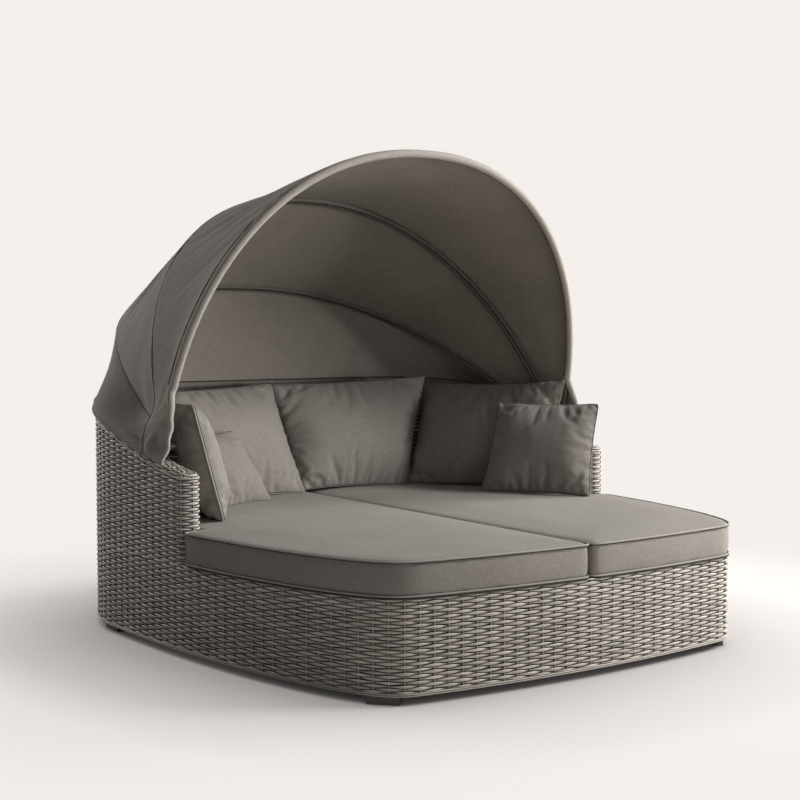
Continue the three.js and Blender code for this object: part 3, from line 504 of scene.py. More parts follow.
metals = {
    "frame": {"colour": (0.075, 0.07, 0.064), "metallic": 0.3, "rough": 0.5},
    "slat": {"colour": (0.10, 0.094, 0.086), "metallic": 0.3, "rough": 0.5},
    "foot": {"colour": (0.13, 0.115, 0.1), "metallic": 0.0, "rough": 0.65, "grain": 400},
    "bow": {"colour": (0.10, 0.094, 0.086), "metallic": 0.4, "rough": 0.45, "grain": 1100},
    "clip": {"colour": (0.235, 0.22, 0.2), "metallic": 0.0, "rough": 0.6},
    "steel": {"colour": (0.16, 0.155, 0.148), "metallic": 0.8, "rough": 0.4, "grain": 700},
}


def clothMaterial(name, colour, light, thread, bump, rough):
    material, tree, shader = newMaterial(name)
    place = addNode(tree, "ShaderNodeTexCoord").outputs["Object"]
    # slubby threads: noise drawn out along each of the piece's three directions
    slubs = None
    for axis in range(3):
        scale = [0.11 / thread if k == axis else 1 / thread for k in range(3)]
        drawn = mapNode(tree, place, scale, (3.1 * axis, 1.7 * axis, 2.3 * axis))
        yarn = noiseNode(tree, drawn, 1, 3, Roughness=0.6)
        slubs = yarn if slubs is None else mathNode(tree, "ADD", slubs, yarn)
    patches = noiseNode(tree, place, 4, 3)
    mixed = mathNode(tree, "MULTIPLY_ADD", patches, 0.5, slubs)
    tone = rangeNode(tree, mixed, fromMin=1.3, fromMax=2.2).outputs["Result"]
    ends = (0.3, [c / light for c in colour]), (0.7, [c * light for c in colour])
    grain = noiseNode(tree, place, 2.4 / thread, 2)
    height = mathNode(tree, "MULTIPLY_ADD", grain, 0.4, slubs)
    feed(tree, shader, {
        "Roughness": rough, "Specular IOR Level": 0.25, "Sheen Weight": 0.08, "Sheen Roughness": 0.5,
        "Base Color": rampNode(tree, tone, *ends), "Normal": bumpNode(tree, height, bump, thread * 0.2),
    })
    return material


def coatedMaterial(name, colour, metallic, rough, grain=900):
    material, tree, shader = newMaterial(name + "Finish")
    place = addNode(tree, "ShaderNodeTexCoord").outputs["Object"]
    speckle = noiseNode(tree, place, grain, 3)
    marks = noiseNode(tree, place, 14, 5)
    ends = (0.3, [c * 0.88 for c in colour]), (0.7, [c * 1.12 for c in colour])
    gloss = rangeNode(tree, marks, toMin=rough - 0.08, toMax=rough + 0.1).outputs["Result"]
    feed(tree, shader, {
        "Metallic": metallic, "Roughness": gloss, "Base Color": rampNode(tree, marks, *ends),
        "Normal": bumpNode(tree, speckle, 0.15, 0.0002),
    })
    return material


def dressFrame():
    made = {name: coatedMaterial(name, **values) for name, values in metals.items()}
    for part in frame["record"]["subparts"]:
        if part["material_slot"] in made:
            piece = nodes[part["node"]]
            piece.data.materials.clear()
            clip = part["node"].startswith("rim_clip")
            piece.data.materials.append(made["clip" if clip else part["material_slot"]])


clothFinishes = {name: clothMaterial(name, **values) for name, values in finishes.items()}
dressFrame()
print("finishes made")

# Canopy: three cloths between four bows, in the bows' own formulas
canopy = {
    "tube": 0.0095,
    "clearance": 0.0015,
    "cloth": 0.0024,
    "rimInset": 0.014,
    "hemDrop": 0.026,
    "hemOut": 0.0044,
    "bowPitch": 0.022,
    "earFront": 0.002,
    "seamHem": 0.128,
    "merge": (-0.84, 0.194, 0.73),
    "earReach": 0.18,
    "leave": {"front": 0.205, "second": 0.16, "third": 0.25},
    "skirtSteps": 14,
    "tailSteps": 9,
    "overSteps": 320,
    "wrapShares": (0.12, 0.55, 1.0),
    "wrapGap": 0.0004,
    "wrapRun": 0.008,
    "sag": 0.012,
    "ruffle": 0.07,
    "ruffleFrom": 0.2,
    "ruffleDeep": 0.005,
    "earWays": ((0.115, 0.01, 0.21), (0.03, 0.09, 0.22), (0.01, 0.02, 0.2)),
    "seamWays": ((0.005, 0.045, 0.12), (0.06, 0.045, 0.045)),
    "easeBelow": 8,
    "easeAbove": 14,
    "easeTimes": 40,
    "thirdWay": (0.03, 0.16, 0.04),
    "pleat": 0.004,
    "pleatHalf": 0.0008,
    "seamDip": 0.0016,
    "boltCurve": 12,
    "overBolt": 0.8992,
    "kneeOut": 0.002,
    "sideDown": 0.004,
    "lowShare": 0.55,
    "endDrops": {"knee": 0.5, "turn": 0.62, "side": 0.78, "low": 0.9},
}
canopyRows = {"front": 36, "middle": 26, "rear": 18}
bowShapes = {
    "front": {"reach": 0.996, "lean": 16.25, "square": 2.2},
    "second": {"reach": 1.0, "lean": -30.8, "square": 2.15},
    "third": {"reach": 1.214, "lean": -63.75, "square": 2.47},
}
# each bow's half width, one pitch inside the last
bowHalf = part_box("front_bow")[1].x - (canopy["bowPitch"] - 0.0006) / 2
for bow in bowShapes.values():
    bow["half"] = bowHalf
    bowHalf -= canopy["bowPitch"]
pivot = np.array([0, plan["pivotY"], float(rimHeight(plan["pivotY"])) + plan["pivotRise"]])
clothOut = canopy["tube"] + canopy["clearance"] + canopy["cloth"]
rimClothOut = canopy["rimInset"] + canopy["hemOut"] + canopy["cloth"]


def bowPoint(bow, turn, grow=0.0):
    turn = np.asarray(turn, float)
    power = 2 / bow["square"]
    across = np.cos(turn)
    x = -(bow["half"] + grow) * np.sign(across) * np.abs(across) ** power
    reach = (bow["reach"] + grow) * np.abs(np.sin(turn)) ** power
    lean = math.radians(bow["lean"])
    return np.stack([x, pivot[1] - reach * math.sin(lean), pivot[2] + reach * math.cos(lean)], axis=-1)


# Where on its round a bow comes to a given reach from the pivot
def turnAtReach(bow, reach):
    return math.asin((reach / bow["reach"]) ** (bow["square"] / 2))


def hemPoint(y):
    x = -float(outlineX(y, -canopy["hemOut"] - canopy["cloth"]))
    return np.array([x, y, float(rimHeight(y)) + plan["pivotRise"] - canopy["hemDrop"]])


# A curve from start to end that sets off along one direction and arrives along another
def softCurve(start, end, startWay, endWay, steps):
    t = np.linspace(0, 1, steps + 1)[:, None]
    size = np.linalg.norm(end - start)
    leave = unit(np.array(startWay)) * size
    arrive = unit(np.array(endWay)) * size
    before = (2 * t**3 - 3 * t**2 + 1) * start + (t**3 - 2 * t**2 + t) * leave
    return before + (3 * t**2 - 2 * t**3) * end + (t**3 - t**2) * arrive


mirrorX = np.array([-1.0, 1.0, 1.0])


# One line from the left hem over a bow to the right hem; out is the cloth's distance from the line
def meridian(hem, merge, bow, leave, hemWay, mergeWay, tailWay):
    start = turnAtReach(bow, leave)
    turns = np.linspace(start, math.pi - start, canopy["overSteps"] + 1)
    over = bowPoint(bow, turns)
    landing = bowPoint(bow, start, clothOut)
    along = bowPoint(bow, start + 0.01, clothOut) - landing
    skirt = softCurve(hem, merge, hemWay, mergeWay, canopy["skirtSteps"])
    left = np.vstack([skirt, softCurve(merge, landing, tailWay, along, canopy["tailSteps"])[1:-1]])
    right = (left * mirrorX)[::-1]
    places = np.vstack([left, over, right])
    out = np.concatenate([np.zeros(len(left)), np.full(len(over), clothOut), np.zeros(len(right))])
    return {"places": places, "ways": unit(np.gradient(places, axis=0)), "out": out}


def rimLine(fromY, count):
    points = leftOutline(canopy["rimInset"])
    points = points[points[:, 1] > fromY]
    points = np.vstack([points, [(-outlineX(fromY, canopy["rimInset"]), fromY)]])
    points = np.vstack([points[::-1], (points * (-1, 1))[1:]])
    points = evenly(points, count)
    return np.column_stack([points, rimHeight(points[:, 1]) + plan["pivotRise"]])


def clothNormal(line, other):
    normal = unit(np.cross(other - line["places"], line["ways"]))
    outward = np.sum(normal * (line["places"] - pivot), axis=1)
    return np.where(outward[:, None] < 0, -normal, normal)


def seamNormal(line, towards, beyond):
    return unit(clothNormal(line, towards) + clothNormal(line, beyond))


def lineNormal(points, outward):
    return np.where(np.sum(points * outward, axis=1)[:, None] < 0, -points, points)


# Rows of a cloth from the middle of its seam to where it leaves the tube
def wrapRows(line, towards, beyond, edge):
    near = clothNormal(line, towards)
    middle = seamNormal(line, towards, beyond)
    step = towards - line["places"]
    width = np.linalg.norm(step, axis=1)
    out = line["out"][:, None]
    onTube = (out[:, 0] > 0) & (np.sum((near - middle) * step, axis=1) > 0)
    rows = []
    for share, dip in ((0.0, edge), *((share, 0.0) for share in canopy["wrapShares"])):
        turned = unit(middle * (1 - share) + near * share)
        wrapped = line["places"] + turned * (out - dip)
        run = np.minimum(canopy["wrapGap"] + canopy["wrapRun"] * share, width / 3)[:, None]
        flat = line["places"] + middle * (out - dip) + unit(step) * run
        wrapped = wrapped + unit(step) * np.minimum(canopy["wrapGap"], width / 3)[:, None]
        rows.append(np.where(onTube[:, None], wrapped, flat))
    return rows


# Rounds rows where the loose cloth comes off its bows
def easeLandings(rows):
    rows = np.array(rows)
    landing = canopy["skirtSteps"] + canopy["tailSteps"]
    below, above = canopy["easeBelow"], canopy["easeAbove"]
    last = rows.shape[-2]
    for low, high in ((landing - below, landing + above), (last - landing - above, last - landing + below)):
        for _ in range(canopy["easeTimes"]):
            beside = rows[..., low - 1:high - 1, :] + rows[..., low + 1:high + 1, :]
            rows[..., low:high, :] = rows[..., low:high, :] / 2 + beside / 4
    return rows


def stepsFromEnd(count):
    return np.minimum(np.arange(count), count - 1 - np.arange(count))


# Rows between two others, hollowed where the cloth is wide
def stretchRows(first, last, count, sag):
    rows = []
    loose = canopy["skirtSteps"] + canopy["tailSteps"]
    wide = gentle(np.clip((stepsFromEnd(len(first)) - loose) / (canopy["tailSteps"] * 1.5), 0, 1))
    for k in range(1, count + 1):
        share = k / (count + 1)
        places = first * (1 - share) + last * share
        inward = unit(pivot - places)
        rows.append(places + inward * (sag * wide * math.sin(math.pi * share) ** 1.3)[:, None])
    return rows


def clothPiece(name, rows, thickness):
    rows = np.array(rows)
    high, wide = rows.shape[:2]
    piece = meshPiece(name, rows.reshape(-1, 3), gridFaces(high, wide, False))
    grid = piece.data.uv_layers.new(name="UVMap")
    across = np.concatenate([[0], np.cumsum(np.linalg.norm(np.diff(rows, axis=0), axis=2).mean(axis=1))])
    along = np.concatenate([[0], np.cumsum(np.linalg.norm(np.diff(rows, axis=1), axis=2).mean(axis=0))])
    corners = np.array([loop.vertex_index for loop in piece.data.loops])
    uv = np.column_stack([along[corners % wide], across[corners // wide]])
    grid.data.foreach_set("uv", uv.astype(np.float32).ravel())
    # the outer face looks away from the pivots
    middle = piece.data.polygons[(high // 2) * (wide - 1) + wide // 2]
    if Vector(middle.normal).dot(Vector(middle.center) - Vector(pivot)) < 0:
        piece.data.flip_normals()
    thicken(piece, thickness)
    smooth(piece, 50)
    return piece


def placed(points):
    return np.asarray(points) + (0, backward, 0)


frontBow, secondBow, thirdBow = (bowShapes[k] for k in ("front", "second", "third"))
mergePoint = np.array(canopy["merge"])
earPoint = bowPoint(frontBow, turnAtReach(frontBow, canopy["earReach"]), clothOut)
earHem = hemPoint(canopy["earFront"])
frontLine = meridian(earHem, earPoint, frontBow, canopy["leave"]["front"], *canopy["earWays"])
# the loose ends of the front cloth ruffle a little between its bow and the rim
fromHem = lengths(frontLine["places"])
fromHem = np.minimum(fromHem, fromHem[-1] - fromHem)
loose = np.clip(1 - fromHem / canopy["ruffleFrom"], 0, 1) ** 0.5
ruffle = np.sin(fromHem / canopy["ruffle"] * 2 * math.pi) * loose * canopy["ruffleDeep"]
frontLine["places"][:, 0] += np.sign(frontLine["places"][:, 0]) * ruffle
seamHem = hemPoint(canopy["seamHem"])
seamWays = canopy["seamWays"]
secondLine = meridian(seamHem, mergePoint, secondBow, canopy["leave"]["second"], *seamWays, seamWays[1])
thirdLine = meridian(seamHem, mergePoint, thirdBow, canopy["leave"]["third"], *seamWays, canopy["thirdWay"])
lineCount = len(thirdLine["places"])
rimPlaces = rimLine(canopy["seamHem"] + 0.005, lineCount)
rimWays = unit(np.gradient(rimPlaces, axis=0))
rimNormals = unit(np.column_stack([-rimWays[:, 1], rimWays[:, 0], np.zeros(lineCount)]))
rimNormals = lineNormal(rimNormals, np.column_stack([rimPlaces[:, :2], np.zeros(lineCount)]))
rimSide = rimPlaces + rimNormals * rimClothOut
rimHem = rimSide - (0, 0, canopy["hemDrop"])
nearSkirt = stepsFromEnd(lineCount) <= canopy["skirtSteps"]


def frontRows():
    beyond = np.where(nearSkirt[:, None], rimHem, thirdLine["places"])
    # the cloth turns over its bow's outer side, so its edge faces forward and up
    away = frontLine["places"] * 2 - secondLine["places"]
    first = wrapRows(frontLine, secondLine["places"], away, 0.0)
    last = wrapRows(secondLine, frontLine["places"], beyond, canopy["seamDip"])
    between = stretchRows(first[-1], last[-1], canopyRows["front"], canopy["sag"])
    rows = np.array(first + between + last[::-1])
    # the cloth is pushed out where it lies over the head of the pivot's bolt
    fromBolt = (rows[:, :, 1] - pivot[1]) ** 2 + (rows[:, :, 2] - pivot[2]) ** 2
    over = canopy["overBolt"] - canopy["boltCurve"] * fromBolt
    rows[:, :, 0] = np.where(np.abs(rows[:, :, 0]) < over, np.sign(rows[:, :, 0]) * over, rows[:, :, 0])
    return easeLandings(rows)


def middleRows():
    beyond = frontLine["places"]
    first = wrapRows(secondLine, thirdLine["places"], beyond, canopy["seamDip"])
    last = wrapRows(thirdLine, secondLine["places"], rimPlaces, canopy["seamDip"])
    between = stretchRows(first[-1], last[-1], canopyRows["middle"], canopy["sag"] * 0.2)
    rows = np.array(first + between + last[::-1])
    # below the point where its seams meet, this cloth is a narrow pleat that opens as the bows fold
    turn = np.linspace(0, math.pi, len(rows))[:, None, None]
    inward = unit(pivot - secondLine["places"]) * canopy["pleat"]
    forward = unit(beyond - secondLine["places"]) * canopy["pleatHalf"]
    rows[:, nearSkirt] += (inward * np.sin(turn) + forward * np.cos(turn))[:, nearSkirt]
    return easeLandings(rows)


def rearRows():
    below = np.where(nearSkirt[:, None], rimHem, rimPlaces)
    beforeThird = np.where(nearSkirt[:, None], frontLine["places"], secondLine["places"])
    seam = wrapRows(thirdLine, below, beforeThird, canopy["seamDip"])
    rimAway = {"places": rimPlaces, "ways": rimWays, "out": np.full(lineCount, clothOut)}
    kneeNormal = clothNormal(rimAway, thirdLine["places"])
    knee = rimPlaces + kneeNormal * clothOut
    end = gentle(np.minimum(1, stepsFromEnd(lineCount) / canopy["skirtSteps"]))[:, None]

    # near its ends the cloth goes straight from the bow down to the rim
    def nearEnd(row, place):
        plain = thirdLine["places"] + (rimHem - thirdLine["places"]) * canopy["endDrops"][place]
        return plain * (1 - end) + row * end

    outer = unit(kneeNormal + rimNormals) * (clothOut + canopy["kneeOut"])
    low = rimSide * (1 - canopy["lowShare"]) + rimHem * canopy["lowShare"]
    knee = nearEnd(knee, "knee")
    between = stretchRows(seam[-1], knee, canopyRows["rear"], canopy["sag"] / 2)
    turn, side = nearEnd(rimPlaces + outer, "turn"), nearEnd(rimSide - (0, 0, canopy["sideDown"]), "side")
    return easeLandings(seam + between + [knee, turn, side, nearEnd(low, "low"), rimHem])


# Bakes a cloth's placing into its mesh
def blendRows(piece):
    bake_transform(piece)


canopyDetail = {
    "pulls": 0.0055,
    "sleeveRadius": 0.0128,
    "frontSleeveRadius": 0.0136,
    "bandEnd": 0.0042,
    "sleeveReach": 0.14,
    "sleeveSides": 16,
    "hemRoll": 0.006,
    "seamShadeCord": 0.0017,
    "innerCord": 0.003,
    "stitchOut": 0.0092,
    "edgeStitchShade": 0.026,
    "bandTaper": 0.24,
}
# Folds in a cloth: size, waves along it, slant, waves across it, and a seed of their own
folds = {
    "plain": (0.6, 26, 3.2, 1.5, 0),
    "broad": (1.2, 7, 0, 2, 5),
    "fine": (2.3, 62, 7.5, 1.1, 9),
}


def foldAt(kind, u, v, seed):
    size, along, slant, across, own = folds[kind]
    return size * noise.noise(Vector((u * along + v * slant, v * across, seed + own)))


# Shallow pull folds down a cloth from its bow towards the rear, the fine ones on its shoulders
def addPulls(rows, size, seed):
    rows = np.array(rows)
    high, wide = rows.shape[:2]
    normals = unit(np.cross(np.gradient(rows, axis=0), np.gradient(rows, axis=1)))
    outward = np.sum(normals * (rows - pivot), axis=2)
    normals = np.where(outward[..., None] < 0, -normals, normals)
    for i in range(1, high - 1):
        v = i / (high - 1)
        for j in range(canopy["skirtSteps"], wide - canopy["skirtSteps"]):
            u = j / (wide - 1)
            shoulder = math.exp(-(((abs(u - 0.5) - 0.2) / 0.09) ** 2))
            shares = {"plain": 1, "broad": 1, "fine": shoulder}
            lift = sum(foldAt(kind, u, v, seed) * share for kind, share in shares.items())
            rows[i, j] += normals[i, j] * size * math.sin(math.pi * v) ** 0.7 * lift
    return rows


def addCloths():
    made = []
    for name, rows, pulls, seed, near, far in (
        ("Front", frontRows(), 1, 1.0, "second_bow", "front_bow"),
        ("Middle", middleRows(), 1, 9.0, "third_bow", "second_bow"),
        ("Rear", rearRows(), 0.6, 17.0, "daybed", "third_bow"),
    ):
        rows = placed(addPulls(rows, canopyDetail["pulls"] * pulls, seed))
        cloth = clothPiece("canopy" + name + "Cloth", rows, canopy["cloth"])
        finishPiece(cloth, clothFinishes["canopyCloth"], None, ["canopy_" + name.lower()])
        blendRows(cloth)
        made.append(cloth)
    return made


def canopyTube(name, line, radius, sides, finish, body):
    return finishPiece(tube(name, line, radius, sides), clothFinishes[finish], body)


# The front cloth's own edge, turned over its bow and hemmed down to the rim
def addBand():
    places = frontLine["places"].copy()
    # the loose ends lie outside the tube, so the band comes in to the bow's middle by degrees
    ends = canopy["skirtSteps"] + canopy["tailSteps"]
    start = turnAtReach(frontBow, canopy["leave"]["front"])
    shift = bowPoint(frontBow, start) - bowPoint(frontBow, start, clothOut)
    up = gentle(np.arange(ends) / (ends - 1))[:, None]
    places[:ends] += shift * up
    places[-ends:] += (shift * mirrorX) * up[::-1]
    places = evenly(places, 260)
    along = lengths(places)
    fromEnd = np.minimum(along, along[-1] - along)
    thin, full = canopyDetail["bandEnd"], canopyDetail["frontSleeveRadius"]
    radius = thin + (full - thin) * np.clip(fromEnd / canopyDetail["bandTaper"], 0, 1) ** 1.2
    sides = canopyDetail["sleeveSides"]
    return canopyTube("frontSleeve", placed(places), radius, sides, "bandCloth", "front_bow")


def addSleeves():
    size, sides = canopyDetail["sleeveRadius"], canopyDetail["sleeveSides"]
    made = {"front": [addBand()]}
    for name, bow in (("second", secondBow), ("third", thirdBow)):
        start = turnAtReach(bow, canopyDetail["sleeveReach"])
        line = evenly(bowPoint(bow, np.linspace(start, math.pi - start, 400)), 170)
        made[name] = [canopyTube(name + "Sleeve", placed(line), size, sides, "sleeveCloth", name + "_bow")]
    line = placed(rimLine(canopy["seamHem"] + 0.02, 150))
    inward = unit(np.column_stack([-line[:, 0], backward - line[:, 1], np.zeros(len(line))]))
    stitches = line + inward * 0.006 + (0, 0, 0.0118)
    made["rim"] = [
        canopyTube("rimSleeve", line, size, sides, "sleeveCloth", "daybed"),
        # a near-black stitch line on the rim's sleeve, painted shade of its groove
        canopyTube("rimStitchShade", stitches, canopyDetail["innerCord"], 6, "threadAndShadeLine", "daybed"),
    ]
    return made


# A row of stitches in a groove: a fine near-black line beside a bow, painted shade of the groove over the
# stitching, aside along the cloth and outward from the bow
def stitchShadeLine(name, line, towards, aside, outward, body):
    places = line["places"] + unit(towards - line["places"]) * aside + clothNormal(line, towards) * outward
    skip = canopy["skirtSteps"] + canopy["tailSteps"]
    places = evenly(placed(places)[skip:-skip], 200)
    return canopyTube(name, places, canopyDetail["innerCord"], 6, "threadAndShadeLine", body)


# The near-black cord on a seam's crest, painted shade of the seam line, down over the loose cloth as far as
# skip leaves it
def seamShadeCord(name, line, towards, beyond, skip, body):
    places = line["places"] + seamNormal(line, towards, beyond) * (line["out"] + 0.0002)[:, None]
    places = easeLandings(places)[skip:len(places) - skip]
    return canopyTube(name, evenly(placed(places), 260), canopyDetail["seamShadeCord"], 6, "threadAndShadeLine", body)


def addStitches(sleeves):
    beside, edge, under = canopyDetail["stitchOut"], canopyDetail["edgeStitchShade"], clothOut - canopy["cloth"]
    ahead, middle, behind = (line["places"] for line in (frontLine, secondLine, thirdLine))
    for bow, label, line, towards, aside, outward in (
        ("front", "Inner", frontLine, middle, beside, -beside),
        ("front", "Edge", frontLine, middle, edge, under),
        ("second", "Ahead", secondLine, ahead, beside, -beside),
        ("second", "Behind", secondLine, behind, beside, -beside),
        ("third", "Ahead", thirdLine, middle, beside, -beside),
        ("third", "Behind", thirdLine, rimPlaces, beside, -beside),
    ):
        cord = stitchShadeLine(bow + "StitchShade" + label, line, towards, aside, outward, bow + "_bow")
        sleeves[bow].append(cord)
    sleeves["second"].append(seamShadeCord("secondSeamShade", secondLine, ahead, behind, 1, "second_bow"))
    skip = canopy["skirtSteps"]
    sleeves["third"].append(seamShadeCord("thirdSeamShade", thirdLine, middle, rimPlaces, skip, "third_bow"))


def addHems():
    inward = unit(np.column_stack([-rimHem[:, :2], np.zeros(lineCount)]))
    line = evenly(placed(rimHem + inward * 0.001), 220)
    return canopyTube("rearHem", line, canopyDetail["hemRoll"], 12, "canopyCloth", "daybed")


front, middle, rear = addCloths()
sleeves = addSleeves()
addStitches(sleeves)
rearHem = addHems()
print("canopy made")

# Woven skins: flat strands over upright stakes, woven flat and then bent round the plan
weave = {
    "gap": 0.045,
    "rowPitch": 0.0087,
    "baseRows": 30,
    "highOver": 0.0041,
    "highBehind": 0.0021,
    "drop": 0.0018,
    "thick": 0.0014,
    "swing": 0.0033,
    "stake": 0.002,
    "inset": 0.0042,
    "round": 0.018,
    "armCorner": 0.03,
    "border": 0.0042,
    "innerLow": 0.4,
    "innerStakeLow": 0.36,
    "cuts": 7,
    "section": ((0.0, -1.0), (1.0, -0.5), (1.0, 0.5), (0.0, 1.0), (-1.0, 0.0)),
    "weld": 0.0002,
    # thickness and places of the near-black sheets that paint the shade behind the strands
    "shadeSheet": 0.0015,
    "shadeSheetBehind": 0.002,
    "shadeSheetInside": 0.002,
    "rimFlat": 0.6,
    "endEase": 0.006,
    "aboveTop": 0.003,
    "stakeAbove": 0.004,
    # waves along a strand, as size and rate, and how far they lift, thicken and push it
    "lift": ((1, 11), (1, 27), (0.7, 61)),
    "swell": ((1, 17), (1, 43)),
    "push": ((1, 31),),
    "liftSize": 0.00032,
    "swellSize": 0.07,
    "pushSize": 0.0004,
}


# The plan's line as evenly spaced places with their outward ways, measured from the middle of the back
class PlanLoop:
    def __init__(self, half, count):
        whole = np.vstack([half, (half * (-1, 1))[::-1][1:-1]])
        closed = np.vstack([whole, whole[:1]])
        self.length = lengths(closed)[-1]
        self.places = eased(evenly(closed, count + 1)[:-1], 3)
        self.count = count
        ways = unit(np.roll(self.places, -1, 0) - np.roll(self.places, 1, 0))
        self.outward = np.column_stack([ways[:, 1], -ways[:, 0]])

    def at(self, along):
        step = (np.asarray(along) / self.length * self.count) % self.count
        low = np.floor(step).astype(int) % self.count
        share = (step - np.floor(step))[:, None]
        high = (low + 1) % self.count
        place = self.places[low] * (1 - share) + self.places[high] * share
        outward = self.outward[low] * (1 - share) + self.outward[high] * share
        return place, unit(outward)


baseLoop = PlanLoop(leftOutline(0), 2400)
baseGaps = 2 * round(baseLoop.length / weave["gap"] / 2)
stakeGap = baseLoop.length / baseGaps


def wallHalf():
    corner, thick, front = weave["armCorner"], plan["wall"], plan["armFront"]
    outer = leftOutline(0)
    outer = outer[outer[:, 1] > front + corner]
    outerX = float(outlineX(front + corner, 0))
    innerX = float(outlineX(front + corner, thick))
    first = quarter((-outerX + corner, front + corner), (corner, corner), math.pi, 12)
    second = quarter((-innerX - corner, front + corner), (corner, corner), math.pi * 1.5, 12)
    inner = leftOutline(thick)
    inner = inner[inner[:, 1] > front + corner][::-1]
    return np.vstack([outer, first, second, inner]), lengths(np.vstack([outer, first[:1]]))[-1]


wallPoints, outerRun = wallHalf()
wallLoop = PlanLoop(wallPoints, 3600)
wallGaps = 2 * round(wallLoop.length / stakeGap / 2)
armRun = weave["armCorner"] * math.pi + plan["wall"] - 2 * weave["armCorner"]
innerX = float(outlineX(plan["armFront"] + plan["wall"] / 2, plan["wall"] / 2))


# Stakes stand above the base's own on the outer side; the inner side's spacing takes up the rest
def wallAlong(along):
    half, run = wallLoop.length / 2, wallGaps * stakeGap / 2
    turned = (along + run) % (2 * run) - run
    size = np.abs(turned)
    stretched = outerRun + (size - outerRun) * (half - outerRun) / (run - outerRun)
    return np.sign(turned) * np.where(size < outerRun, size, stretched)


def bendRound(loop, along, flat):
    place, outward = loop.at(along)
    place = place + outward * (flat[:, 1] - weave["inset"])[:, None]
    return placed(np.column_stack([place, flat[:, 2]]))


def bendBase(flat):
    return bendRound(baseLoop, flat[:, 0], flat)


def bendWall(flat):
    return bendRound(wallLoop, wallAlong(flat[:, 0]), flat)


# Over the rounded rim: the height is the way across it, from the side up to the wall's middle line
def bendRim(flat):
    bend = weave["round"]
    place, outward = wallLoop.at(wallAlong(flat[:, 0]))
    across = flat[:, 2]
    turn = np.clip(across / bend, 0, math.pi / 2)
    inward = bend * (1 - np.cos(turn)) + np.maximum(0, across - bend * math.pi / 2)
    middle = place - outward * (plan["wall"] / 2)
    endY = plan["armFront"] + plan["wall"] / 2
    endX = np.sign(place[:, 0]) * innerX
    nearEnd = middle[:, 1] < endY
    limited = np.clip(middle[:, 0] - endX, -weave["endEase"], weave["endEase"])
    middle[:, 0] = np.where(nearEnd, endX + limited, middle[:, 0])
    middle[:, 1] = np.maximum(middle[:, 1], endY)
    share = (inward / (plan["wall"] / 2))[:, None]
    ground = place * (1 - share) + middle * share
    height = rimHeight(place[:, 1]) - bend + bend * np.sin(turn)
    depth = flat[:, 1] - weave["inset"]
    ground = ground + outward * (depth * np.cos(turn))[:, None]
    return placed(np.column_stack([ground, height + depth * np.sin(turn)]))


# Cuts the long edges of a fresh cylinder
def cutAlong(piece, axis, longest, cuts):
    def pick(mesh):
        for edge in mesh.edges:
            edge.select_set(bool(abs(edge.verts[0].co[axis] - edge.verts[1].co[axis]) > longest))

    edited(piece, pick, [(bpy.ops.mesh.subdivide, {"number_cuts": cuts})], whole=False)


# One period of two neighbouring rows: each strand passes over one stake and behind the next
def strandTile(name):
    deselect()
    strands = []
    for row, sign in ((0, 1), (1, -1)):
        bpy.ops.mesh.primitive_cylinder_add(
            vertices=5, radius=1, depth=2 * stakeGap, end_fill_type="NOTHING", rotation=(0, math.pi / 2, 0)
        )
        strand = bpy.context.object
        bpy.ops.object.transform_apply(location=True, rotation=True, scale=True)
        cutAlong(strand, 0, stakeGap, weave["cuts"])
        corners = sorted({round(math.atan2(v.co.z, v.co.y), 2) for v in strand.data.vertices})
        for vertex in strand.data.vertices:
            corner = corners.index(round(math.atan2(vertex.co.z, vertex.co.y), 2))
            swing = sign * math.cos(math.pi * vertex.co.x / stakeGap)
            high = weave["highBehind"] + (weave["highOver"] - weave["highBehind"]) * (1 + swing) / 2
            deep, tall = weave["section"][corner]
            vertex.co.y = weave["swing"] * swing + weave["thick"] * deep
            vertex.co.z = high * tall + weave["rowPitch"] * (row + 0.5) - weave["drop"] * (1 - swing) / 2
            vertex.co.x += stakeGap
        strands.append(strand)
    deselect()
    for strand in strands:
        strand.select_set(True)
    bpy.context.view_layer.objects.active = strands[0]
    bpy.ops.object.join()
    return named(name)


def arrayed(piece, axis, count, step):
    many = piece.modifiers.new("rows", "ARRAY")
    many.count = count
    many.use_relative_offset = False
    many.use_constant_offset = True
    offset = [0, 0, 0]
    offset[axis] = step
    many.constant_offset_displace = offset
    many.use_merge_vertices = axis == 0
    many.merge_threshold = 0.0001
    applyAll(piece)


def getPlaces(piece):
    values = np.empty(len(piece.data.vertices) * 3, np.float32)
    piece.data.vertices.foreach_get("co", values)
    return values.reshape(-1, 3).astype(float)


def setPlaces(piece, places):
    piece.data.vertices.foreach_set("co", np.asarray(places, np.float32).ravel())
    piece.data.update()


def flatMap(piece, rowHeight):
    places = getPlaces(piece)
    corners = np.empty(len(piece.data.loops), np.int32)
    piece.data.loops.foreach_get("vertex_index", corners)
    layer = piece.data.uv_layers.active or piece.data.uv_layers.new(name="UVMap")
    uv = np.column_stack([places[corners, 0], places[corners, 2] / rowHeight])
    layer.data.foreach_set("uv", uv.astype(np.float32).ravel())


def strandWaves(x, kind, phases):
    return sum(size * np.sin(x * rate + phases[:, k]) for k, (size, rate) in enumerate(weave[kind]))


# Small differences between one strand and the next, as hand weaving leaves
def handWoven(places, seed):
    rows = np.floor(places[:, 2] / weave["rowPitch"])
    random = np.random.default_rng(seed)
    phases = random.uniform(0, 6.28, (int(rows.max()) + 2, 6))[rows.astype(int)]
    x = places[:, 0]
    swell = 1 + weave["swellSize"] * strandWaves(x, "swell", phases[:, 3:])
    middle = (rows + 0.5) * weave["rowPitch"]
    result = places.copy()
    lift = weave["liftSize"] * strandWaves(x, "lift", phases)
    result[:, 2] = middle + (places[:, 2] - middle) * swell + lift
    result[:, 1] = places[:, 1] + weave["pushSize"] * strandWaves(x, "push", phases[:, 5:])
    return result


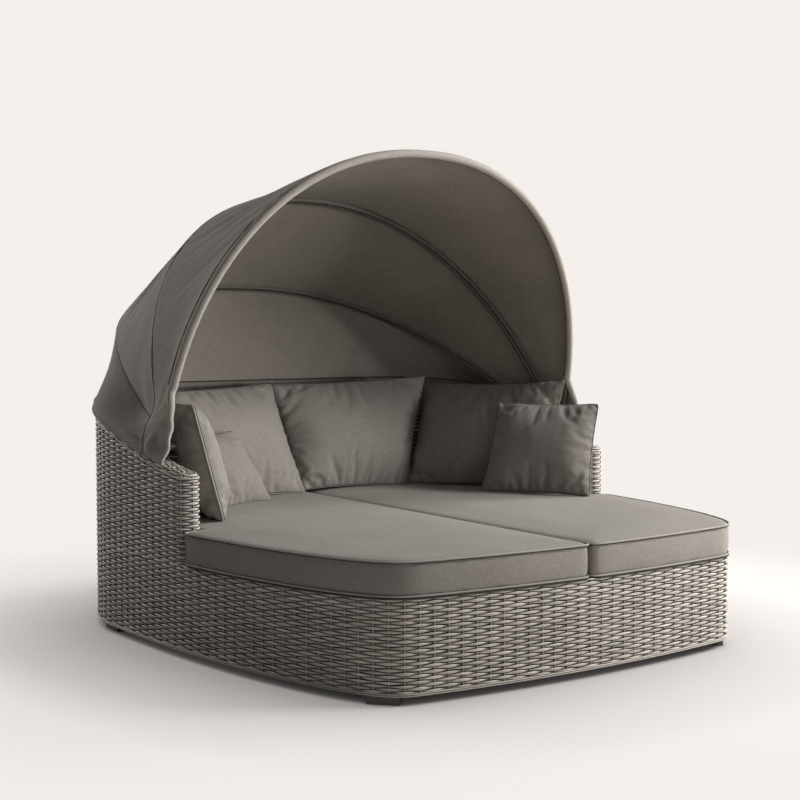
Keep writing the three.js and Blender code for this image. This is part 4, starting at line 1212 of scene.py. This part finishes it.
def cutTo(piece, keep):
    def drop(mesh):
        loose = [face for face, kept in zip(mesh.faces, keep) if not kept]
        bmesh.ops.delete(mesh, geom=loose, context="FACES")

    edited(piece, drop, [(bpy.ops.mesh.fill_holes, {"sides": 6})])


def faceMiddles(piece):
    values = np.empty(len(piece.data.polygons) * 3, np.float32)
    piece.data.polygons.foreach_get("center", values)
    return values.reshape(-1, 3)


def weld(piece, work=None):
    edited(piece, work, [(bpy.ops.mesh.remove_doubles, {"threshold": weave["weld"]})])


def wovenPiece(name, firstGap, gapCount, firstRow, rowCount, bend, seed, keep=None):
    piece = strandTile(name)
    arrayed(piece, 0, gapCount // 2, 2 * stakeGap)
    arrayed(piece, 2, rowCount // 2, 2 * weave["rowPitch"])
    places = getPlaces(piece)
    places[:, 0] += firstGap * stakeGap
    places[:, 2] += firstRow * weave["rowPitch"]
    setPlaces(piece, places)
    if keep is not None:
        middles = faceMiddles(piece)
        cutTo(piece, keep(middles[:, 0], middles[:, 2]))
    flatMap(piece, weave["rowPitch"])
    setPlaces(piece, bend(handWoven(getPlaces(piece), seed)))
    weld(piece)
    smooth(piece, 65)
    return piece


def stakePiece(name, places, low, high, cuts, bend):
    deselect()
    bpy.ops.mesh.primitive_cylinder_add(vertices=6, radius=weave["stake"], depth=1)
    stake = named(name)
    cutAlong(stake, 2, 0.5, cuts)
    arrayed(stake, 0, len(places), 1.0)
    flat = getPlaces(stake)
    which = np.round(flat[:, 0]).astype(int)
    flat[:, 0] += np.asarray(places)[which] - which
    lows, highs = np.asarray(low)[which], np.asarray(high)[which]
    flat[:, 2] = lows + (flat[:, 2] + 0.5) * (highs - lows)
    setPlaces(stake, flat)
    flatMap(stake, 0.5)
    setPlaces(stake, bend(flat))
    smooth(stake, 65)
    return stake


def wickerTop(along):
    place, _ = wallLoop.at(wallAlong(np.asarray(along, float)))
    return rimHeight(place[:, 1]) - weave["round"]


def loopTube(name, line, radius, sides=8):
    def dropCaps(mesh):
        caps = [face for face in mesh.faces if len(face.verts) > 4]
        bmesh.ops.delete(mesh, geom=caps, context="FACES_ONLY")

    piece = tube(name, np.vstack([line, line[:1]]), radius, sides)
    weld(piece, dropCaps)
    return piece


def borderLine(loop, count, height, outward):
    along = np.linspace(0, loop.length, count, endpoint=False)
    place, away = loop.at(along)
    place = place + away * outward
    z = height(place) if callable(height) else np.full(count, height)
    return placed(np.column_stack([place, z]))


# A band between lines of places one above the other, given its thickness inwards
def bandPiece(name, lines, thickness):
    piece = meshPiece(name, np.vstack(lines), gridFaces(len(lines), len(lines[0]), True))
    recalc(piece)
    thicken(piece, thickness)
    smooth(piece, 50)
    flatMap(piece, 0.01)
    return piece


# Painted shade: near-black sheets behind the strands, standing in for the shadow inside the weave, through
# which no light shows
def baseShadeSheet():
    behind = -2 * weave["inset"] - weave["shadeSheetBehind"]
    heights = (plan["baseLow"] + weave["shadeSheetInside"], plan["baseHigh"] - weave["shadeSheetInside"])
    return bandPiece("baseShadeSheet", [borderLine(baseLoop, 300, z, behind) for z in heights], weave["shadeSheet"])


def wallShadeSheet():
    along = np.linspace(0, wallGaps * stakeGap, 420, endpoint=False)

    def line(bend, height):
        behind = np.full(len(along), -weave["inset"] - weave["shadeSheetBehind"])
        return bend(np.column_stack([along, behind, np.full(len(along), height)]))

    lines = [line(bendWall, plan["baseHigh"] + weave["shadeSheetInside"])]
    lines += [line(bendRim, step) for step in np.linspace(0, rimAcross * 0.98, 6)]
    return bandPiece("wallShadeSheet", lines, weave["shadeSheet"])


wicker = {
    "colour": (0.52, 0.477, 0.429),
    # the stakes' own colour, also the painted highlight where strands bend over them
    "stakeAndHighlightColour": (0.53, 0.49, 0.445),
    # near-black painted shade, for the sheets behind the weave and between the strands
    "paintedShadeColour": (0.012, 0.011, 0.010),
    "variation": 1.5,
    "rough": 0.45,
}


def wickerMaterial(name, colour, stakeAndHighlightColour, paintedShadeColour, variation, rough):
    material, tree, shader = newMaterial(name)
    place = addNode(tree, "ShaderNodeTexCoord").outputs["UV"]
    split = addNode(tree, "ShaderNodeSeparateXYZ", {0: place}).outputs
    # strand number, so that each strand has a tone of its own
    row = mathNode(tree, "FLOOR", split["Y"])
    spread = addNode(tree, "ShaderNodeCombineXYZ", {"X": split["X"], "Y": row}).outputs[0]
    tone = noiseNode(tree, mapNode(tree, spread, (7, 3.7, 1)), 1, 2, Roughness=0.7)
    # fine streaks along the strand
    streaks = noiseNode(tree, mapNode(tree, place, (28, 9, 1)), 1, 3)
    total = mathNode(tree, "MULTIPLY_ADD", streaks, 0.55, tone)
    dark, pale = [c / variation for c in colour], [min(0.9, c * variation) for c in colour]
    plain = rampNode(tree, total, (0.5, dark), (1, pale))
    # painted highlight: strands are paler where they bend over a stake
    fromStake = mathNode(tree, "PINGPONG", mathNode(tree, "DIVIDE", split["X"], stakeGap), 0.5)
    stakeHighlight = rangeNode(tree, fromStake, fromMin=0.1, fromMax=0, toMax=0.5).outputs["Result"]
    highlighted = mixNode(tree, stakeHighlight, plain, tuple(stakeAndHighlightColour) + (1,))
    # painted shade: darker between the strands, where they lie close together
    creviceShade = addNode(tree, "ShaderNodeAmbientOcclusion", {"Distance": 0.008}, samples=4).outputs["AO"]
    shaded = mixNode(tree, mathNode(tree, "POWER", creviceShade, 2.6), tuple(paintedShadeColour) + (1,), highlighted)
    gloss = rangeNode(tree, streaks, toMin=rough - 0.1, toMax=rough + 0.15).outputs["Result"]
    feed(tree, shader, {
        "Specular IOR Level": 0.4, "Base Color": shaded, "Roughness": gloss,
        "Normal": bumpNode(tree, streaks, 0.4, 0.0006),
    })
    return material


def addSkin(piece, finish, node):
    finishPiece(piece, wickerFinishes[finish], "daybed", [node])


def lifted(bend, height):
    return lambda flat: bend(flat + (0, 0, height))


def addBaseWeave():
    low, high = plan["baseLow"], plan["baseHigh"]
    half = baseGaps // 2 + baseGaps // 2 % 2
    bent = lifted(bendBase, rowShift)
    for name, first, count in (("baseWeaveLeft", 0, half), ("baseWeaveRight", half, baseGaps - half)):
        addSkin(wovenPiece(name, first, count, 0, weave["baseRows"], bent, 3), "strands", "base_wicker")
    stakes = np.arange(baseGaps) * stakeGap
    lows, highs = np.full(baseGaps, low + 2 * weave["border"] - 0.0006), np.full(baseGaps, high)
    addSkin(stakePiece("baseStakes", stakes, lows, highs, 1, bendBase), "stakes", "base_wicker")
    for name, height, outward in (
        ("baseBottomBorder", low + weave["border"] * 0.6, 0.0022),
        ("baseSecondBorder", low + weave["border"] * 1.8, 0.0026),
        ("baseTopBorder", high - weave["border"] * 0.5, -0.001),
    ):
        line = borderLine(baseLoop, 480, height, outward - weave["inset"])
        addSkin(loopTube(name, line, weave["border"] * 0.6), "strands", "base_wicker")


def addWallWeave():
    armGaps = int(math.ceil((outerRun + armRun) / stakeGap))
    armGaps += armGaps % 2
    innerGaps = wallGaps - 2 * armGaps
    topRows = 2 * math.ceil((plan["backHeight"] - plan["baseHigh"]) / weave["rowPitch"] / 2)
    bent = lifted(bendWall, rowShift)

    def keepOuter(x, z):
        return z + rowShift < wickerTop(x) + weave["aboveTop"]

    def keepInner(x, z):
        return keepOuter(x, z) & (z + rowShift > weave["innerLow"])

    for name, first, count, seed, keep in (
        ("wallWeaveOuter", -armGaps, 2 * armGaps, 5, keepOuter),
        ("wallWeaveInner", armGaps, innerGaps, 7, keepInner),
    ):
        piece = wovenPiece(name, first, count, weave["baseRows"], topRows, bent, seed, keep)
        addSkin(piece, "strands", "back_wicker")
    rimRows = 2 * round(rimAcross / weave["rowPitch"] / 2)
    scale = rimAcross / (rimRows * weave["rowPitch"])
    piece = wovenPiece("wallWeaveRim", 0, wallGaps, 0, rimRows,
                       lambda flat: bendRim(flat * (1, weave["rimFlat"], scale)), 11)
    addSkin(piece, "strands", "back_wicker")
    stakes = np.arange(wallGaps) * stakeGap
    distance = np.minimum(stakes, wallGaps * stakeGap - stakes)
    lows = np.where(distance < outerRun, plan["baseHigh"], weave["innerStakeLow"])
    highs, flat = wickerTop(stakes) + weave["stakeAbove"], np.zeros(wallGaps)
    addSkin(stakePiece("wallStakes", stakes, lows, highs, 1, bendWall), "stakes", "back_wicker")
    addSkin(stakePiece("rimStakes", stakes, flat, flat + rimAcross, 5, bendRim), "stakes", "back_wicker")
    line = borderLine(
        wallLoop, 700, lambda place: rimHeight(place[:, 1]) - weave["round"], 0.0014 - weave["inset"]
    )
    addSkin(loopTube("rimBorder", line, weave["border"] * 0.8), "strands", "back_wicker")


rowShift = plan["baseHigh"] - weave["baseRows"] * weave["rowPitch"]
rimAcross = weave["round"] * (math.pi / 2 - 1) + plan["wall"] / 2
# the near-black sheets' finish: painted shade
shadeSheetWicker = {**wicker, "colour": wicker["paintedShadeColour"], "stakeAndHighlightColour": wicker["paintedShadeColour"]}
wickerFinishes = {
    "strands": wickerMaterial("wovenStrands", **wicker),
    "shadeSheet": wickerMaterial("paintedShadeSheet", **shadeSheetWicker),
    "stakes": wickerMaterial("wovenStakes", **{**wicker, "colour": wicker["stakeAndHighlightColour"]}),
}
addBaseWeave()
addWallWeave()
addSkin(baseShadeSheet(), "shadeSheet", "base_wicker")
addSkin(wallShadeSheet(), "shadeSheet", "back_wicker")
print("weave made:", baseGaps, "stakes round the base,", wallGaps, "round the wall")

# Pillows: two flat covers sewn together and blown up as cloth, then set into their places on the seat
nutInner = float(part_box("pivot_nut_right")[0].x)
seatTop = 0.4063
# What a pillow has unless its own values say otherwise; reach is how far it goes past its corners
pillowPlain = {"arm": 0, "piping": 0.0016, "full": 0.85, "draw": 0.05, "reach": (0, 0, 0, 0)}
# Corners go from lower left to lower right, upper right and upper left, as shares that pillowCorners scales
pillowPlaces = {
    "back_pillow_left": {
        "thick": 0.165, "seed": 3, "piping": 0.0026, "reach": (0.0, 0.08, 0, 0.01),
        "corners": ((-0.765, 0.492, 0), (-0.141, 0.544, 0), (-0.149, 0.821, 0.993), (-0.841, 0.715, 0.955)),
    },
    "back_pillow_middle": {
        "thick": 0.165, "seed": 11, "reach": (0.06, 0.035, 0, 0.01),
        "corners": ((-0.057, 0.625, 0), (0.502, 0.563, 0), (0.682, 0.659, 1.045), (-0.061, 0.832, 0.985)),
    },
    "back_pillow_right": {
        "thick": 0.16, "seed": 23, "reach": (0.07, 0.015, 0, 0.01), "draw": 0.07,
        "corners": ((0.532, 0.546, 0), (0.948, 0.035, 0), (1.006, 0.022, 1.035), (0.777, 0.687, 0.978)),
    },
    "side_pillow_left": {
        "thick": 0.165, "arm": -1, "seed": 31, "piping": 0.0036, "full": 0.6, "draw": 0.03,
        "corners": ((0.202, -0.032, 0), (0.406, 0.393, 0), (0.206, 0.441, 0.917), (-0.01, 0.016, 0.927)),
    },
    "small_pillow_left": {
        "thick": 0.125, "seed": 43,
        "corners": ((-0.731, 0.278, 0), (-0.381, 0.4, 0), (-0.504, 0.525, 0.618), (-0.829, 0.425, 0.6)),
    },
    "side_pillow_right": {
        "thick": 0.14, "arm": 1, "seed": 57, "reach": (0.01, 0.03, 0, 0.01),
        "corners": ((-0.714, 0.165, 0), (-0.192, -0.231, 0), (0.069, -0.156, 0.825), (-0.439, 0.201, 0.823)),
    },
}
pillowSim = {
    "cell": 0.011,
    "pressure": 5.0,
    "frames": 30,
    "rim": 0.005,
    "slack": 0.06,
    "gather": 0.038,
    "gatherReach": 0.05,
    "gatherDepth": 0.0045,
    "gatherFrom": 0.012,
    "cornerScale": 0.4,
    "ease": 1.04,
    "lumps": 0.012,
    "jitter": 0.0008,
    "settle": 0.16,
    "flattened": 0.012,
    "quickFlat": 0.003,
    "quickHigh": 0.07,
}
# Blender's own settings for a cloth that is blown up
clothSettings = {
    "quality": 6,
    "mass": 0.35,
    "tension_stiffness": 18,
    "compression_stiffness": 18,
    "shear_stiffness": 6,
    "bending_stiffness": 0.35,
    "air_damping": 2,
    "use_pressure": True,
}


def pillowCorners(arm, corners):
    high = pillowSim["cornerScale"]
    wide = high if arm else nutInner
    return [
        np.array((arm * nutInner + a * wide, b * halfDepth + backward, c * high + seatTop))
        for a, b, c in corners
    ]


# Two flat faces joined round their rim; the rim's places come back in order round the cover
def pillowCover(name, width, height, seed):
    deselect()
    across = max(8, round(width / pillowSim["cell"]))
    upward = max(8, round(height / pillowSim["cell"]))
    bpy.ops.mesh.primitive_grid_add(x_subdivisions=across, y_subdivisions=upward, size=1)
    cover = named(name)
    cover.scale = (width, height, 1)
    bpy.ops.object.transform_apply(location=True, rotation=True, scale=True)
    flat = getPlaces(cover)
    share = np.abs(flat[:, :2] / (width / 2, height / 2))
    rim = np.where(share.max(axis=1) > 0.999)[0]
    turn = np.arctan2(flat[rim, 1] / height, flat[rim, 0] / width)
    rim = rim[np.argsort(turn)]
    thicken(cover, pillowSim["rim"], 0)
    random = np.random.default_rng(seed)
    places = getPlaces(cover)
    start = places.copy()
    shift = Vector(random.uniform(-50, 50, 3))
    jitter = random.uniform(-pillowSim["jitter"], pillowSim["jitter"], (len(places), 2))
    for index, place in enumerate(places):
        u, v = place[0] / width * 2, place[1] / height * 2
        full = max(0.0, 1 - u * u) * max(0.0, 1 - v * v)
        bump = noise.noise(Vector((place[0] * 9, place[1] * 9, place[2] * 40)) + shift)
        place[2] += math.copysign(pillowSim["lumps"] * full, place[2]) + pillowSim["lumps"] * bump * full
        place[:2] += jitter[index]
    setPlaces(cover, places)
    return cover, start, rim, rim + len(flat)


def blowUp(piece, pressure, frames, pins, slack=0.0):
    select(piece)
    cloth = piece.modifiers.new("cloth", "CLOTH")
    values = cloth.settings
    for name, value in clothSettings.items():
        setattr(values, name, value)
    values.uniform_pressure_force = pressure
    values.effector_weights.gravity = 0
    cloth.collision_settings.use_collision = False
    group = piece.vertex_groups.new(name="pins")
    group.add([int(i) for i in pins], 1.0, "REPLACE")
    values.vertex_group_mass = "pins"
    values.shrink_min = -slack
    cloth.point_cache.frame_start = 1
    cloth.point_cache.frame_end = frames
    for step in range(1, frames + 1):
        bpy.context.scene.frame_set(step)
    shape = getPlaces(piece.evaluated_get(bpy.context.evaluated_depsgraph_get()))
    piece.modifiers.remove(cloth)
    bpy.context.scene.frame_set(1)
    return shape


# Small gathers that run in from the seam, uneven as sewing leaves them
def puckers(u, v, width, height, seed):
    total = np.zeros(len(u))
    for side, (across, along, size, length) in enumerate(((u, v, width, height), (v, u, height, width))):
        for end in (-1, 1):
            inside = (1 - across * end) * size / 2
            place = along * length / 2
            key = seed * 1.7 + side * 9.1 + end * 3.3
            drift = np.array([noise.noise(Vector((p * 9, key, 0.5))) for p in place])
            strength = np.array([noise.noise(Vector((p * 14, key, 7.5))) for p in place])
            wave = np.sin(place / pillowSim["gather"] * 2 * math.pi + drift * 5 + key)
            fade = np.exp(-inside / pillowSim["gatherReach"])
            fade *= np.clip(inside / pillowSim["gatherFrom"], 0, 1)
            total += wave * fade * np.clip(0.55 + 1.1 * strength, 0, 1.3) * pillowSim["gatherDepth"]
    return total


def filledCover(cover, start, pins, width, height):
    return blowUp(cover, pillowSim["pressure"], pillowSim["frames"], pins, pillowSim["slack"])
    u, v = start[:, 0] / width * 2, start[:, 1] / height * 2
    full = np.sqrt(np.maximum(0, 1 - u**2) * np.maximum(0, 1 - v**2))
    high = np.sign(start[:, 2]) * (pillowSim["quickFlat"] + pillowSim["quickHigh"] * full)
    return np.column_stack([start[:, :2], high])


# Seam cord, and a dark cord painting the shade of the groove beside it, as thin tubes round a closed line
def addCords(name, node, cords):
    for label, line, size, sides, finish in cords:
        finishPiece(loopTube(name + label, line, size, sides), clothFinishes[finish], "daybed", [node])


def addPillow(node, values):
    values = {**pillowPlain, **values}
    name = camelName(node)
    a, b, c, d = pillowCorners(values["arm"], values["corners"])
    width = (np.linalg.norm(b - a) + np.linalg.norm(c - d)) / 2 * pillowSim["ease"]
    height = (np.linalg.norm(d - a) + np.linalg.norm(c - b)) / 2 * pillowSim["ease"]
    cover, start, rim, partner = pillowCover(name, width, height, values["seed"])
    # the seam stays where it is sewn, and the slack of the two faces gathers beside it
    shape = filledCover(cover, start, np.concatenate([rim, partner]), width, height)
    u, v = shape[:, 0] / np.abs(shape[rim, 0]).max(), shape[:, 1] / np.abs(shape[rim, 1]).max()
    low, high = pillowSim["rim"] / 2, np.abs(shape[:, 2]).max()
    full = np.clip((np.abs(shape[:, 2]) - low) / (high - low), 0, 1) ** values["full"]
    bulge = low + full * (values["thick"] / 2 - low) + puckers(u, v, width, height, values["seed"])
    bulge *= np.sign(start[:, 2])
    # the sides draw in between the corners
    draw = values["draw"]
    u, v = u * (1 - draw * (1 - v * v)), v * (1 - draw * (1 - u * u))
    left, right, bottom, top = values["reach"]
    u = (u + 1) / 2 * (1 + left + right) - left
    v = (v + 1) / 2 * (1 + bottom + top) - bottom
    normal = unit(np.cross(b - a + c - d, d - a + c - b))
    near = a + (b - a) * u[:, None]
    far = d + (c - d) * u[:, None]
    # stuffing settles: fuller below, thinner above
    settled = 1 + pillowSim["settle"] * (0.5 - v)
    places = near + (far - near) * v[:, None] + normal * (bulge * settled)[:, None]
    rest = seatTop + 0.001
    lying = places[:, 2] < rest + pillowSim["flattened"]
    places[:, 2] = np.where(lying, np.maximum(places[:, 2], rest), places[:, 2])
    setPlaces(cover, places)
    cover.vertex_groups.clear()
    refine(cover)
    recalc(cover)
    smooth(cover)
    finishPiece(cover, clothFinishes["pillowCloth"], "daybed", [node])
    line = (places[rim] + places[partner]) / 2
    outward = unit(line - line.mean(axis=0))
    outward = unit(outward - normal * (outward @ normal)[:, None])
    line, size = eased(line, 3), values["piping"]
    # the groove's cord is near-black: painted shade beside the seam
    addCords(name, node, (
        ("Seam", line + outward * size * 0.5, size, 8, "pipingCloth"),
        ("Groove", line + normal * size * 1.3, size * 0.62, 6, "threadAndShadeLine"),
    ))


for node, values in pillowPlaces.items():
    addPillow(node, values)
print("pillows made")

# Seat cushions: boxed pads with piping along both edges
seat = {
    "clearance": 0.004,
    "overhang": 0.001,
    "split": 0.006,
    "low": 0.2945,
    "thick": 0.1,
    "crown": 0.0118,
    "crownFrom": 0.0065,
    "cell": 0.011,
    "pressure": 0.8,
    "frames": 14,
    "cap": 0.006,
    "capUp": 0.55,
    "piping": 0.0026,
    "outlineStep": 0.006,
    "cornerSteps": 26,
}
# The pad's side, from its underside round to its top: how far in, and the height over its lower edge
sideProfile = (
    (0.05, 0), (0.012, 0), (0.004, 0.0015), (0.0008, 0.005), (0.001, 0.009), (-0.0006, 0.03), (-0.0012, 0.05),
    (-0.0006, 0.072), (0.001, 0.093), (0.0012, 0.097), (0.005, 0.1008), (0.016, 0.1036), (0.035, 0.1065),
)


def cushionOutline():
    inside, edge = plan["wall"] + seat["clearance"], -seat["overhang"]
    frontOfArm = plan["armFront"] - seat["clearance"]
    inner = leftOutline(inside)
    inner = inner[(inner[:, 1] > frontOfArm) & (inner[:, 0] < -seat["split"])]
    outer = leftOutline(edge)
    outer = outer[(outer[:, 1] < frontOfArm) & (outer[:, 0] < -seat["split"])]
    half = seat["split"] / 2
    points = np.vstack([
        [(-half, halfDepth - inside)],
        inner,
        [(-outlineX(frontOfArm, inside), frontOfArm), (-outlineX(frontOfArm, edge), frontOfArm)],
        outer,
        [(-half, float(outer[-1, 1]))],
    ])
    closed = np.vstack([points, points[:1]])
    count = int(lengths(closed)[-1] / seat["outlineStep"])
    return eased(evenly(closed, count + 1)[:-1], seat["cornerSteps"])


def insetLine(line, distance):
    ways = unit(np.roll(line, -1, 0) - np.roll(line, 1, 0))
    inward = np.column_stack([-ways[:, 1], ways[:, 0]])
    return line + inward * distance


def ringAt(line, inset, height):
    return np.column_stack([insetLine(line, inset), np.full(len(line), height)])


# The pad's soft top and the swelling of its sides, between seams that stay put
def blowPad(pad, edge, low, high):
    rest = getPlaces(pad)
    seams = (edge < 0.014) & ((np.abs(rest[:, 2] - high) < 0.009) | (rest[:, 2] < low + 0.009))
    under = rest[:, 2] < low + 0.01
    moved = blowUp(pad, seat["pressure"], seat["frames"], np.where(seams | under)[0]) - rest
    size = np.linalg.norm(moved, axis=1)
    moved *= np.minimum(1, seat["cap"] / np.maximum(size, 1e-9))[:, None]
    moved[:, 2] *= seat["capUp"]
    setPlaces(pad, rest + moved)


def addSeatCushion(node, side):
    name = camelName(node)
    line = cushionOutline() * (-side, 1)
    if side > 0:
        line = line[::-1]
    count, low = len(line), seat["low"]
    high = low + seat["thick"]
    faces = gridFaces(len(sideProfile), count, True)
    last = (len(sideProfile) - 1) * count
    faces += [tuple(range(count))[::-1], tuple(range(last, last + count))]
    places = np.vstack([ringAt(line, inset, low + rise) for inset, rise in sideProfile])
    pad = meshPiece(name, placed(places), faces)
    recalc(pad)
    remesh = pad.modifiers.new("remesh", "REMESH")
    remesh.mode = "VOXEL"
    remesh.voxel_size = seat["cell"]
    applyAll(pad)
    places = getPlaces(pad)
    edge = nearestDistance(places, placed(ringAt(line, 0, 0)))
    top = places[:, 2] > high + 0.003
    swell = (seat["crown"] - seat["crownFrom"]) * (1 - np.exp(-np.maximum(0, edge - 0.03) / 0.09))
    soft = np.array([softness(x, y, side) for x, y in places[:, :2]])
    places[:, 2] += np.where(top, swell + soft * np.clip(edge / 0.06, 0, 1), 0)
    setPlaces(pad, places)
    blowPad(pad, edge, low, high)
    refine(pad)
    smooth(pad)
    finishPiece(pad, clothFinishes["seatCloth"], "daybed", [node])
    # painted shade: a near-black line under the top piping, and the shadow gap between the pad and the base
    # under the bottom piping
    cords = (
        ("TopPiping", high, -0.0014, seat["piping"], "pipingCloth"),
        ("TopGroove", high - 0.0044, -0.001, 0.0015, "threadAndShadeLine"),
        ("BottomPiping", low + 0.0058, -0.0014, seat["piping"], "pipingCloth"),
        ("BottomGroove", low + 0.0002, -0.0008, 0.0028, "threadAndShadeLine"),
    )
    for label, height, inset, size, finish in cords:
        ring = placed(ringAt(line, inset, height))[::2]
        addCords(name, node, [(label, ring, size, 8, finish)])
    # piping up the corner beside the arm
    outside = insetLine(line, -0.0006)
    corner = (side * 1.0, plan["armFront"] - seat["clearance"])
    near = outside[np.argmin(np.linalg.norm(outside - corner, axis=1))]
    upright = placed([(near[0], near[1], height) for height in np.linspace(low + 0.006, high, 9)])
    piping = tube(name + "CornerPiping", upright, seat["piping"] * 0.9, 8)
    finishPiece(piping, clothFinishes["pipingCloth"], "daybed", [node])


def nearestDistance(places, line):
    tree = kdtree.KDTree(len(line))
    for index, place in enumerate(line):
        tree.insert(Vector((place[0], place[1], 0)), index)
    tree.balance()
    return np.array([tree.find(Vector((p[0], p[1], 0)))[2] for p in places])


# Gentle waves, and in the left pad one long dent where the seat is most used
def softness(x, y, side):
    wave = 0.0022 * noise.noise(Vector((x * 2.6, y * 2.6, 4.0 + side)))
    wave += 0.0010 * noise.noise(Vector((x * 7, y * 7, 9.0)))
    if side < 0:
        along = (x + 0.75) / 0.75
        fade = max(0.0, math.sin(math.pi * min(1, max(0, along))))
        wave -= 0.0045 * fade * math.exp(-(((y + 0.30 + 0.05 * along) / 0.05) ** 2))
    return wave


addSeatCushion("seat_cushion_left", -1)
addSeatCushion("seat_cushion_right", 1)
print("seat cushions made")

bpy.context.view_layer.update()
